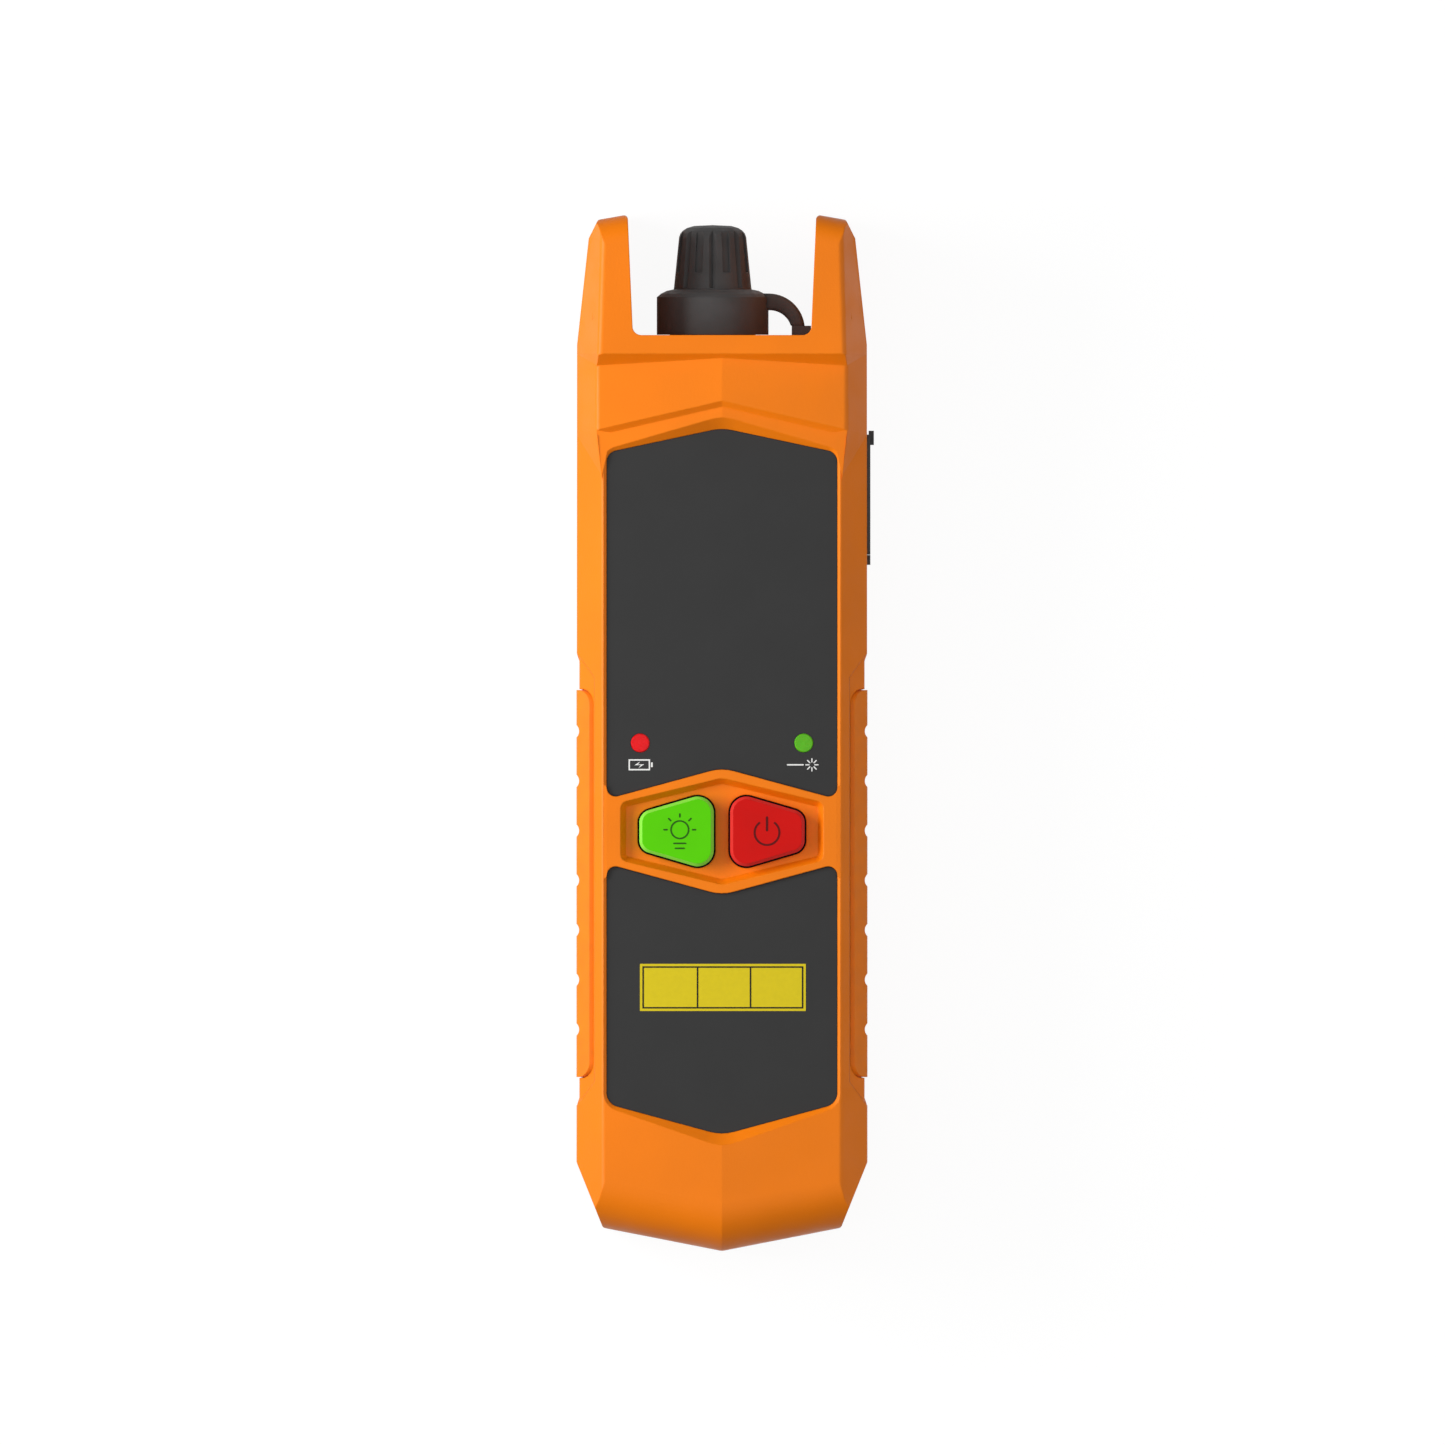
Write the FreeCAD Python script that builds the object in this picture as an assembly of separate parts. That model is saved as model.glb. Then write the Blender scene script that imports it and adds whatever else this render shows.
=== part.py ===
import FreeCAD, Part
import math
import os

from FreeCAD import Vector

# Pocket visual fault locator lying on its back, in millimetres.
# X is its width, +Y points to the optical port, +Z leaves the front face.
# The origin is the middle of the flat back.

# ---- Case outline, seen from the front ----
HALF_WIDTH = 25.0
BOTTOM_TIP_Y = -89.1
BOTTOM_CORNER = (20.45, -85.1)
BOTTOM_TIP_RADIUS = 2.0
SIDE_BOTTOM_Y = -73.8
DECK_Y = 68.3
SHOULDER_X = 24.9
SHOULDER_Y = 66.6
PRONG_KINK = (22.9, 84.9)
PRONG_OUTER_TIP = (21.3, 88.1)
PRONG_INNER_TIP = (16.2, 89.0)
PRONG_ROOT_X = 15.3
PRONG_ROOT_RADIUS = 1.5
TIP_RADIUS = 0.7

# ---- Case section, seen from the end ----
THICKNESS = 30.4
PARTING_Z = 15.0
BACK_HALF_WIDTH = 20.5
BACK_CHAMFER_Z = 6.5
FRONT_CHAMFER_Z = 21.0
ROOF_SLOPE = math.tan(math.radians(4.2))
BODY_RIDGE_Z = 28.6
BODY_EDGE_X = 20.6
HEAD_RIDGE_Z = 29.5
HEAD_EDGE_X = 21.5
PRONG_EDGE_X = 21.2
PRONG_TIP_EDGE_X = 20.6
SIDE_ROUND = 1.6
ROOF_EDGE_ROUND = 1.1
BACK_ROUND = 1.2
SEAM_DEPTH = 0.3
SEAM_WIDTH = 0.3

# ---- Steps across the front, from the port end down ----
TOP_STEP_Y = 65.1
TOP_STEP_RUN = 0.73
CHEVRON_TIP_Y = 57.0
CHEVRON_SLOPE = 0.231
CHEVRON_RUN = 1.0
CHAMFER_FADE = 8.0
BOTTOM_ROLL_RADIUS = 8.0
PRONG_ROLL_RADIUS = 4.5
BACK_ROLL_RADIUS = 2.2
BODY_Y = (-100.0, 100.0)
HEAD_Y = (40.0, 100.0)
PRONG_Y = (55.0, 100.0)

# ---- Shell walls ----
WALL = 2.8
FRONT_CEILING_Z = 24.0
LEDGE_INSET = 4.2
LEDGE_OVERLAP = 0.5
LEDGE_HEIGHT = 2.0
SEAL_INSET = 2.5
SEAL_WIDTH = 1.0
SEAL_HEIGHT = 0.9
PRONG_CORE = [(18.1, 71.0), (22.2, 71.0), (20.9, 82.5), (18.6, 82.5)]
FIT_GAP = 0.05
SCREW_FIT = 0.02

# ---- Front panels ----
PANEL_TOP_Z = 26.6
PANEL_THICKNESS = 0.8
PANEL_HALF_WIDTH = 19.85
UPPER_APEX_Y = 52.35
LOWER_APEX_Y = -69.2
UPPER_NOTCH_Y = -6.1
LOWER_NOTCH_Y = -27.9
TOP_SLOPE = 0.213
PANEL_SLOPE = 0.272
TOP_ROUNDS = (9.0, 2.0)
BOTTOM_ROUNDS = (8.0, 2.5)
NOTCH_ROUNDS = (7.5, 1.6)
RIM_Z = 27.1

# ---- Button pocket and buttons ----
BUTTON_Y = -17.0
POCKET_HALF_WIDTH = 17.45
POCKET_SIDE_HALF = 5.0
POCKET_APEX_HALF = 9.2
POCKET_APEX_ROUND = 3.0
POCKET_SIDE_ROUND = 1.4
POCKET_BEVEL = 0.95
POCKET_FLOOR_Z = 25.5
BUTTON_INNER_X = 1.4
BUTTON_OUTER_X = 14.2
BUTTON_INNER_HALF = 6.95
BUTTON_OUTER_HALF = 3.2
BUTTON_INNER_RADIUS = 2.8
BUTTON_OUTER_RADIUS = 2.2
BUTTON_GAP = 0.3
BUTTON_TOP_Z = 28.2
BUTTON_EDGE = 0.5
BUTTON_FLANGE = 0.65
BUTTON_FLANGE_THICKNESS = 0.75
BUTTON_CENTRE_X = 7.6
BUTTON_TRAVEL = 0.5
BUTTON_BOSS_RADIUS = 1.6

# ---- Layers under the buttons, from the ceiling down to the board ----
PANEL_FLOOR_Z = PANEL_TOP_Z - PANEL_THICKNESS
FLANGE_TOP_Z = FRONT_CEILING_Z - FIT_GAP
FLANGE_Z = FLANGE_TOP_Z - BUTTON_FLANGE_THICKNESS
SHEET_TOP_Z = FLANGE_Z - BUTTON_TRAVEL
SHEET_THICKNESS = 0.45
SHEET_Z = SHEET_TOP_Z - SHEET_THICKNESS
SHEET_HALF_WIDTH = 18.6
SHEET_HALF_LENGTH = 10.2
SHEET_RIM = 1.5
SWITCH_SIDE = 5.2
SWITCH_HEIGHT = 1.3
SWITCH_LEG = 0.6
PLUNGER_LENGTH = 0.9
PLUNGER_RADIUS = 1.25

# ---- Indicators ----
INDICATOR_X = 14.05
INDICATOR_Y = -1.8
INDICATOR_RADIUS = 1.6
INDICATOR_PROUD = 0.15
INDICATOR_FLANGE = (2.2, 0.8)
LAMP_SIZE = (1.6, 1.0, 0.7)

# ---- Side grips ----
CHANNEL_DEPTH = 0.5
GRIP_DEPTH = 1.2
CHANNEL_Y = (-63.6, 13.1)
CHANNEL_Z = (3.0, 25.2)
CHANNEL_CORNER = 3.6
CHANNEL_FLARE = 2.0
GRIP_INNER_X = 15.0
GRIP_Y = (-59.2, 7.3)
GRIP_Z = (4.2, 24.0)
GRIP_CORNER_RADIUS = 2.5
GRIP_GAP = 0.15
SCALLOP_COUNT = 7
SCALLOP_CENTRE_Y = -25.4
SCALLOP_PITCH = 8.54
SCALLOP_RADIUS = 1.45
SCALLOP_DEPTH = 0.45

# ---- Main board ----
BOARD_Z = 19.0
BOARD_THICKNESS = 1.6
BOARD_TOP_Z = BOARD_Z + BOARD_THICKNESS
BOARD_HALF_WIDTH = 16.5
BOARD_TONGUE_X = 20.4
BOARD_Y = (-34.0, 52.0)
BOARD_CHIPS = [((-6, 1), (0, 7), 1.0), ((5, 9), (2, 5), 1.2),
               ((-12, -9), (8, 14), 2.0), ((8, 13), (12, 20), 2.4)]

# ---- Screws ----
BOARD_SCREWS = [(-13.5, 47.0), (13.5, -31.0)]
BOARD_RESTS = [(13.5, 47.0), (-13.5, -31.0)]
BOARD_REST_HALF = 1.5
BOARD_SCREW_RADIUS = 1.0
BOARD_SCREW_HEAD = (1.9, 1.2)
BOARD_STAND_RADIUS = 2.4
CASE_SCREWS = [(-17.0, 57.5), (17.0, 57.5), (-15.5, -75.5), (15.5, -75.5)]
CASE_SCREW_RADIUS = 1.25
CASE_SCREW_HEAD_RADIUS = 2.35
CASE_SCREW_HEAD_Z = (2.2, 4.0)
CASE_SCREW_END_Z = 21.0
SCREW_RECESS_RADIUS = 2.6
SCREW_CROSS = (2.2, 0.5, 0.9)
FRONT_POST_RADIUS = 3.2
REAR_POST_RADIUS = 4.2

# ---- Optical port and its cap ----
PORT_X = -1.6
PORT_Z = 15.0
PORT_RADIUS = 4.5
PORT_HOLE_RADIUS = 6.0
PORT_FLANGE_RADIUS = 7.4
PORT_FLANGE_THICKNESS = 2.0
PORT_BEVEL = 0.45
PORT_END_Y = 79.8
PORT_CLEARANCE = 9.0
NUT_RADIUS = 7.0
NUT_THICKNESS = 2.4
WASHER_THICKNESS = 1.2
FERRULE_RADIUS = 1.25
SLEEVE_RADIUS = 1.9
SLEEVE_SINK = 4.0
BEAM_RADIUS = 1.0

# ---- Dust cap ----
CAP_RING_RADIUS = 9.6
CAP_RING_TOP_Y = 74.8
CAP_SHOULDER = [(8.9, 75.4), (7.9, 75.9)]
CAP_CONE_BASE = (6.7, 76.15)
CAP_CONE_TOP = (5.8, 85.1)
CAP_CROWN = [(5.55, 85.75), (5.1, 86.25), (4.4, 86.7), (3.2, 87.05)]
CAP_TOP_Y = 87.2
CAP_BASE_Y = DECK_Y + 0.05
CAP_GROOVES = 8
CAP_GROOVE_WIDTH = 1.2
CAP_GROOVE_DEPTH = 0.6
CAP_SLOT_WIDTH = 1.3
CAP_SLOT_DEPTH = 0.4
CAP_SLOT_Y = 79.1
CAP_BORE_GAP = 0.25
CAP_END_GAP = 0.6

# ---- Cap strap ----
STRAP_OUTER_CENTRE = (8.0, 69.2)
STRAP_OUTER_RADIUS = 6.25
STRAP_INNER_CENTRE = (8.2, 69.0)
STRAP_INNER_RADIUS = 3.8
STRAP_HALF_DEPTH = 2.5
STRAP_GAP = 0.03
FOOT_X = (11.98, 15.3)
FOOT_TOP_Y = 69.9
FOOT_PIN_X = 13.4
FOOT_NECK_RADIUS = 1.1
FOOT_HEAD_RADIUS = 1.8
FOOT_NECK_END_Y = DECK_Y - 1.2
FOOT_HEAD_END_Y = DECK_Y - 2.3

# ---- Torch ----
TORCH_X = -11.8
TORCH_Z = 5.9
TORCH_RADIUS = 2.5
TORCH_SHOULDER = 0.4
TORCH_SEAT_Y = DECK_Y - 1.2
TORCH_LENS_BACK_Y = DECK_Y - 2.2
TORCH_LENS_BEVEL = 0.3
REFLECTOR_LENGTH = 3.6

# ---- Charging port and its cover ----
USB_Y = 40.0
USB_HALF_LENGTH = 4.47
USB_HALF_HEIGHT = 1.6
USB_Z = BOARD_Z - USB_HALF_HEIGHT
USB_MOUTH_X = 24.0
USB_LENGTH = 7.4
USB_WALL = 0.3
USB_TONGUE = (3.3, 0.35)
COVER_X = (24.2, 25.5)
COVER_Y = (28.8, 51.2)
COVER_Z = (12.4, 20.7)
COVER_ROUNDS = (3.0, 1.2)
COVER_SPAN_X = (20.0, 30.0)
COVER_SPLIT_Y = 30.5
COVER_STALK_Z = 16.8
STALK_RADIUS = 0.9
BARB_RADIUS = 1.5
COVER_TAB_X = 26.1
COVER_TAB_Y = (49.4, 51.85)
COVER_TAB_INSET = 1.5

# ---- Battery and laser ----
BATTERY_X = 17.0
BATTERY_Y = (-70.0, -18.0)
BATTERY_Z = (3.8, 11.4)
BATTERY_ROUND = 2.2
RIB_GAP = 0.4
RIB_WIDTH = 1.2
RIB_TOP_Z = 7.0
LASER_RADIUS = 4.0
LASER_Y = (31.0, 58.0)
LASER_REAR = 7.0
LENS_RADIUS = 1.8
LENS_SINK = 2.0
COLLAR_WALL = 1.3
COLLAR_OVERLAP = 5.0

# ---- Working limits of the helpers ----
REACH = 250.0
ROUND_REACH = 60.0
SMALLEST_ROUND = 0.1
CLOSE = 1e-6


# ---- Helpers ----
def box(x_span, y_span, z_span):
    corner = Vector(x_span[0], y_span[0], z_span[0])
    sizes = [span[1] - span[0] for span in (x_span, y_span, z_span)]
    return Part.makeBox(*sizes, corner)


def rod(radius, start, end):
    """A round bar from one point to another."""
    return Part.makeCylinder(radius, (end - start).Length, start, end - start)


def tube(outer, inner, start, end):
    return rod(outer, start, end).cut(rod(inner, start, end))


def mirror_x(shape):
    return shape.mirror(Vector(0, 0, 0), Vector(1, 0, 0))


def both_sides(shape):
    return [shape, mirror_x(shape)]


def mirrored_corners(right_side):
    """Complete an outline that is listed up its right side from bottom to top."""
    left_side = [(-x, y, r) for x, y, r in reversed(right_side) if x > 0]
    return right_side + left_side


def offset_corners(corners, distance):
    """Move every side of a counter-clockwise outline outwards by a distance."""
    moved = []
    for index, (x, y, radius) in enumerate(corners):
        here = Vector(x, y, 0)
        before = Vector(*corners[index - 1][:2], 0)
        after = Vector(*corners[(index + 1) % len(corners)][:2], 0)
        way_in = (here - before).normalize()
        way_out = (after - here).normalize()
        normals = Vector(way_in.y + way_out.y, -way_in.x - way_out.x, 0)
        shift = normals * (distance / (1 + way_in.dot(way_out)))
        growth = distance if way_in.cross(way_out).z > 0 else -distance
        new_radius = max(radius + growth, SMALLEST_ROUND) if radius else 0
        moved.append((x + shift.x, y + shift.y, new_radius))
    return moved


def outline(corners, level=0.0):
    """A closed wire through corners given as x, y and the corner's radius."""
    pieces = []
    ends = []
    for index, (x, y, radius) in enumerate(corners):
        here = Vector(x, y, level)
        before = Vector(*corners[index - 1][:2], level)
        after = Vector(*corners[(index + 1) % len(corners)][:2], level)
        back = (before - here).normalize()
        ahead = (after - here).normalize()
        half_angle = back.getAngle(ahead) / 2
        reach = radius / math.tan(half_angle)
        start = here + back * reach
        end = here + ahead * reach
        if radius:
            middle_way = (back + ahead).normalize()
            middle = here + middle_way * (radius / math.sin(half_angle) - radius)
            pieces.append(Part.Arc(start, middle, end).toShape())
        ends.append((start, end))
    for index, (start, end) in enumerate(ends):
        if start.distanceToPoint(ends[index - 1][1]) > CLOSE:
            pieces.append(Part.LineSegment(ends[index - 1][1], start).toShape())
    return Part.Wire(Part.__sortEdges__(pieces))


def plate(corners, z_span):
    """A flat plate with the outline of the corners."""
    face = Part.Face(outline(corners, z_span[0]))
    return face.extrude(Vector(0, 0, z_span[1] - z_span[0]))


def turned_to(shape, axis, angle):
    """The shape after a turn about an axis through the origin."""
    shape.Placement = FreeCAD.Placement(Vector(), FreeCAD.Rotation(axis, angle))
    return shape


def side_plate(corners, x_span):
    """A plate that lies across X: its outline is given in Y and Z."""
    return turned_to(plate(corners, x_span), Vector(1, 1, 1), 120)


def section_bar(corners, y_span):
    """A bar along Y whose section is given in X and Z."""
    return turned_to(plate(corners, (-y_span[1], -y_span[0])), Vector(1, 0, 0), 90)


def funnel(corners, z_span, widening):
    """A plate whose outline widens evenly from its lower face to its upper face."""
    lower = outline(corners, z_span[0])
    upper = outline(offset_corners(corners, widening), z_span[1])
    return Part.makeLoft([lower, upper], True, True)


def polygon_face(ring):
    return Part.Face(Part.makePolygon(ring + ring[:1]))


def frustum(lower, upper):
    """A solid with flat sides between two rings of points that run the same way."""
    sides = [[lower[index - 1], lower[index], upper[index], upper[index - 1]]
             for index in range(len(lower))]
    rings = [lower[::-1], upper] + sides
    return Part.Solid(Part.Shell([polygon_face(ring) for ring in rings]))


def beyond(point, normal):
    """A large block on the side of a plane that its normal points to."""
    block = Part.makeBox(2 * REACH, 2 * REACH, REACH, Vector(-REACH, -REACH, 0))
    block.Placement = FreeCAD.Placement(point, FreeCAD.Rotation(Vector(0, 0, 1), normal))
    return block


def plane_normal(a, b, c, towards):
    """Normal of the plane through three points, on the side named."""
    normal = (b - a).cross(c - a).normalize()
    return -normal if normal.dot(towards) < 0 else normal


def beyond_three(a, b, c, towards):
    """A large block beyond the plane through three points, on the side named."""
    return beyond(a, plane_normal(a, b, c, towards))


def corner_waste(point, normal_a, normal_b, radius):
    """What is cut away to turn the edge where two planes meet into a round."""
    along = normal_a.cross(normal_b).normalize()
    outwards = (normal_a + normal_b).normalize()
    centre = point - outwards * (radius / normal_a.dot(outwards))
    touch_a = centre + normal_a * radius
    touch_b = centre + normal_b * radius
    ring = [touch_b, touch_b + normal_b * radius, point + outwards * 3 * radius,
            touch_a + normal_a * radius, touch_a]
    edges = [Part.LineSegment(p, q).toShape() for p, q in zip(ring, ring[1:])]
    edges.append(Part.Arc(touch_a, centre + outwards * radius, touch_b).toShape())
    face = Part.Face(Part.Wire(Part.__sortEdges__(edges)))
    face.translate(-along * ROUND_REACH)
    return face.extrude(along * 2 * ROUND_REACH)


def rim_edges(shape, axis, level):
    """Edges of a shape that lie wholly at one level along an axis."""
    return [edge for edge in shape.Edges
            if all(abs(vertex.Point.dot(axis) - level) < CLOSE for vertex in edge.Vertexes)]


# ---- Case form ----
def case_corners():
    """Outline of the whole case, with the notch between its two prongs."""
    return mirrored_corners([
        (0, BOTTOM_TIP_Y, BOTTOM_TIP_RADIUS),
        (*BOTTOM_CORNER, TIP_RADIUS),
        (HALF_WIDTH, SIDE_BOTTOM_Y, TIP_RADIUS),
        (SHOULDER_X, SHOULDER_Y, 0),
        (*PRONG_KINK, TIP_RADIUS),
        (*PRONG_OUTER_TIP, TIP_RADIUS),
        (*PRONG_INNER_TIP, TIP_RADIUS),
        (PRONG_ROOT_X, DECK_Y, PRONG_ROOT_RADIUS),
    ])


def room_corners():
    """Outline of the case without its prongs, which the inner room follows."""
    return mirrored_corners([
        (0, BOTTOM_TIP_Y, 0),
        (*BOTTOM_CORNER, 0),
        (HALF_WIDTH, SIDE_BOTTOM_Y, 0),
        (HALF_WIDTH, DECK_Y, 0),
    ])


def edge_z(edge_x, ridge_z):
    """Height of the roof where it meets the front chamfer."""
    return ridge_z - edge_x * ROOF_SLOPE


def section_corners(edge_x, ridge_z):
    """Section of the case: flat back, four side chamfers and a shallow roof."""
    return mirrored_corners([
        (BACK_HALF_WIDTH, 0, BACK_ROUND),
        (HALF_WIDTH, BACK_CHAMFER_Z, SIDE_ROUND),
        (HALF_WIDTH, FRONT_CHAMFER_Z, SIDE_ROUND),
        (edge_x, edge_z(edge_x, ridge_z), ROOF_EDGE_ROUND),
        (0, ridge_z, 0),
    ])


def side_form(depth):
    """The case's long form with every face moved in, for what is let into it."""
    corners = offset_corners(section_corners(BODY_EDGE_X, BODY_RIDGE_Z), -depth)
    return section_bar(corners, (-REACH, REACH))


def chamfer_fade(side, edge, foot):
    """Waste that lets a raised chamfer run out gently, from its edge to a foot below."""
    waste = beyond_three(side, edge, foot, Vector(0, -1, 0))
    return both_sides(waste)


def head_block():
    """Raised head: its lower end is a chevron step, which stops at the chamfers."""
    head = section_bar(section_corners(HEAD_EDGE_X, HEAD_RIDGE_Z), HEAD_Y)
    step_y = CHEVRON_TIP_Y - CHEVRON_RUN
    low_z = edge_z(BODY_EDGE_X, BODY_RIDGE_Z)
    step = beyond_three(Vector(0, CHEVRON_TIP_Y, HEAD_RIDGE_Z),
                        Vector(0, step_y, BODY_RIDGE_Z),
                        Vector(BODY_EDGE_X, step_y - CHEVRON_SLOPE * BODY_EDGE_X, low_z),
                        Vector(0, -1, 0))
    side = Vector(HALF_WIDTH, CHEVRON_TIP_Y - CHEVRON_SLOPE * HALF_WIDTH, FRONT_CHAMFER_Z)
    edge = Vector(HEAD_EDGE_X, CHEVRON_TIP_Y - CHEVRON_SLOPE * HEAD_EDGE_X,
                  edge_z(HEAD_EDGE_X, HEAD_RIDGE_Z))
    foot = Vector(BODY_EDGE_X, edge.y - CHAMFER_FADE, low_z)
    roof = beyond(edge, Vector(foot.y - edge.y, edge.x - foot.x, 0))
    right_waste = step.common(roof)
    chevron = right_waste.common(mirror_x(right_waste))
    return head.cut([chevron] + chamfer_fade(side, edge, foot))


def prong_block():
    """Flat top of the prongs and the deck between them, above a straight step."""
    section = mirrored_corners([
        (BACK_HALF_WIDTH, 0, BACK_ROUND),
        (HALF_WIDTH, BACK_CHAMFER_Z, SIDE_ROUND),
        (HALF_WIDTH, FRONT_CHAMFER_Z, SIDE_ROUND),
        (PRONG_EDGE_X, THICKNESS, 0),
    ])
    top = section_bar(section, PRONG_Y)
    edge = Vector(PRONG_EDGE_X, TOP_STEP_Y, THICKNESS)
    up = Vector(0, 0, 1)
    step = beyond_three(edge, Vector(0, TOP_STEP_Y, THICKNESS),
                        Vector(0, TOP_STEP_Y - TOP_STEP_RUN, HEAD_RIDGE_Z), Vector(0, -1, 0))
    lean_normal = plane_normal(edge, Vector(HALF_WIDTH, TOP_STEP_Y, FRONT_CHAMFER_Z),
                               Vector(PRONG_TIP_EDGE_X, PRONG_OUTER_TIP[1], THICKNESS),
                               Vector(1, 0, 0))
    lean = beyond(edge, lean_normal)
    edge_round = corner_waste(edge, up, lean_normal, ROOF_EDGE_ROUND)
    low_z = edge_z(HEAD_EDGE_X, HEAD_RIDGE_Z)
    step_slope = TOP_STEP_RUN / (THICKNESS - HEAD_RIDGE_Z)
    foot = Vector(HEAD_EDGE_X, TOP_STEP_Y - step_slope * (THICKNESS - low_z), low_z)
    ends = chamfer_fade(Vector(HALF_WIDTH, TOP_STEP_Y, FRONT_CHAMFER_Z), edge, foot)
    return top.cut([step] + both_sides(lean) + both_sides(edge_round) + ends)


def wall_normal(start, end):
    """Outward normal of a wall, its ends given counter-clockwise in X and Y."""
    return Vector(end[1] - start[1], start[0] - end[0], 0).normalize()


def end_rounds():
    """Waste that rounds the bottom end, the prong tips and the back's ends."""
    front = Vector(0, 0, 1)
    back = Vector(0, 0, -1)
    roof = Vector(ROOF_SLOPE, 0, 1).normalize()
    bottom_wall = wall_normal((0, BOTTOM_TIP_Y), BOTTOM_CORNER)
    prong_wall = wall_normal(PRONG_OUTER_TIP, PRONG_INNER_TIP)
    prong_half = box((0, 2 * HALF_WIDTH), (DECK_Y, 2 * DECK_Y), (-THICKNESS, 2 * THICKNESS))
    bottom = corner_waste(Vector(0, BOTTOM_TIP_Y, BODY_RIDGE_Z), roof, bottom_wall,
                          BOTTOM_ROLL_RADIUS)
    back_bottom = corner_waste(Vector(0, BOTTOM_TIP_Y, 0), back, bottom_wall, BACK_ROLL_RADIUS)
    prong = corner_waste(Vector(*PRONG_INNER_TIP, THICKNESS), front, prong_wall,
                         PRONG_ROLL_RADIUS)
    back_prong = corner_waste(Vector(*PRONG_INNER_TIP, 0), back, prong_wall, BACK_ROLL_RADIUS)
    return [bottom, back_bottom, prong.common(prong_half), back_prong.common(prong_half)]


def case_form():
    """Outer form of the closed case, before anything is let into it."""
    body = section_bar(section_corners(BODY_EDGE_X, BODY_RIDGE_Z), BODY_Y)
    stack = body.fuse([head_block(), prong_block()]).removeSplitter()
    form = stack.common(plate(case_corners(), (-1, THICKNESS + 1)))
    waste = []
    for shape in end_rounds():
        waste += both_sides(shape)
    return form.cut(waste)


def inner_room():
    """The sealed room inside the case."""
    plan = plate(offset_corners(room_corners(), -WALL), (0, FRONT_CEILING_Z))
    return plan.common(side_form(WALL))


def ledge(z_span):
    """Ring inside the wall at the parting line, which carries the seal."""
    outer = plate(offset_corners(room_corners(), -WALL + LEDGE_OVERLAP), z_span)
    inner = plate(offset_corners(room_corners(), -LEDGE_INSET), z_span)
    clearance = rod(PORT_CLEARANCE, port_axis(DECK_Y - 8), port_axis(DECK_Y - WALL))
    return outer.cut([inner, clearance])


def seal_ring():
    """Cord seal in its groove; it butts against the port's rubber ring."""
    z_span = (PARTING_Z - SEAL_HEIGHT, PARTING_Z)
    outer = plate(offset_corners(room_corners(), -SEAL_INSET), z_span)
    inner = plate(offset_corners(room_corners(), -SEAL_INSET - SEAL_WIDTH), z_span)
    port = rod(PORT_HOLE_RADIUS + SEAL_INSET, port_axis(DECK_Y - 10), port_axis(DECK_Y + 10))
    return outer.cut([inner, port])


def seam():
    """Shadow groove round the front half, where it meets the rear one."""
    z_span = (PARTING_Z, PARTING_Z + SEAM_WIDTH)
    outer = plate(offset_corners(case_corners(), 1.0), z_span)
    return outer.cut(plate(offset_corners(case_corners(), -SEAM_DEPTH), z_span))


def prong_cores():
    """Pockets that lighten the prongs, open at the parting line."""
    corners = [(x, y, 0) for x, y in PRONG_CORE]
    return both_sides(plate(corners, (WALL, THICKNESS - WALL)))


# ---- Side grips ----
def grip_channel():
    """Waste for the shallow channel that the grip lies in, with sloping ends."""
    (y0, y1), (z0, z1), cut = CHANNEL_Y, CHANNEL_Z, CHANNEL_CORNER
    points = [(y0, z0 + cut), (y0 + cut, z0), (y1 - cut, z0), (y1, z0 + cut),
              (y1, z1 - cut), (y1 - cut, z1), (y0 + cut, z1), (y0, z1 - cut)]
    corners = [(y, z, 0) for y, z in points]
    floor_x = HALF_WIDTH - CHANNEL_DEPTH
    floor = [Vector(floor_x, y, z) for y, z in points]
    mouth = [Vector(floor_x + CHANNEL_FLARE, y, z)
             for y, z, _ in offset_corners(corners, CHANNEL_FLARE)]
    flare = frustum(floor, mouth)
    inner = side_plate(corners, (GRIP_INNER_X, floor_x))
    return flare.fuse(inner).cut(side_form(CHANNEL_DEPTH))


def grip_corners(margin=0.0):
    (y0, y1), (z0, z1) = GRIP_Y, GRIP_Z
    radius = GRIP_CORNER_RADIUS
    corners = [(y0, z0, radius), (y1, z0, radius), (y1, z1, radius), (y0, z1, radius)]
    return offset_corners(corners, margin)


def grip_blank(margin):
    """The grip's outline carried through the wall, down to the pocket's floor."""
    blank = side_plate(grip_corners(margin), (GRIP_INNER_X, HALF_WIDTH + 1))
    return blank.cut(side_form(GRIP_DEPTH))


def grip_pad():
    """Soft grip that wraps the side and both chamfers, with scallops across it."""
    centre_x = HALF_WIDTH + SCALLOP_RADIUS - SCALLOP_DEPTH
    scallops = []
    for index in range(SCALLOP_COUNT):
        y = SCALLOP_CENTRE_Y + (index - SCALLOP_COUNT // 2) * SCALLOP_PITCH
        scallops.append(rod(SCALLOP_RADIUS, Vector(centre_x, y, 0),
                            Vector(centre_x, y, THICKNESS)))
    return grip_blank(0).common(side_form(0)).cut(scallops)


# ---- Front panels ----
def panel_corners(low_y, high_y, low_slope, high_slope, low_round, high_round):
    """Outline whose lower and upper edge each run at a slope from a point in the middle."""
    return mirrored_corners([
        (0, low_y, low_round[0]),
        (PANEL_HALF_WIDTH, low_y + low_slope * PANEL_HALF_WIDTH, low_round[1]),
        (PANEL_HALF_WIDTH, high_y + high_slope * PANEL_HALF_WIDTH, high_round[1]),
        (0, high_y, high_round[0]),
    ])


def window_corners():
    """Outline of the sunk field that holds both panels."""
    return panel_corners(LOWER_APEX_Y, UPPER_APEX_Y, PANEL_SLOPE, -TOP_SLOPE, BOTTOM_ROUNDS,
                         TOP_ROUNDS)


def upper_panel_corners():
    return panel_corners(UPPER_NOTCH_Y, UPPER_APEX_Y, -PANEL_SLOPE, -TOP_SLOPE, NOTCH_ROUNDS,
                         TOP_ROUNDS)


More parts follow.
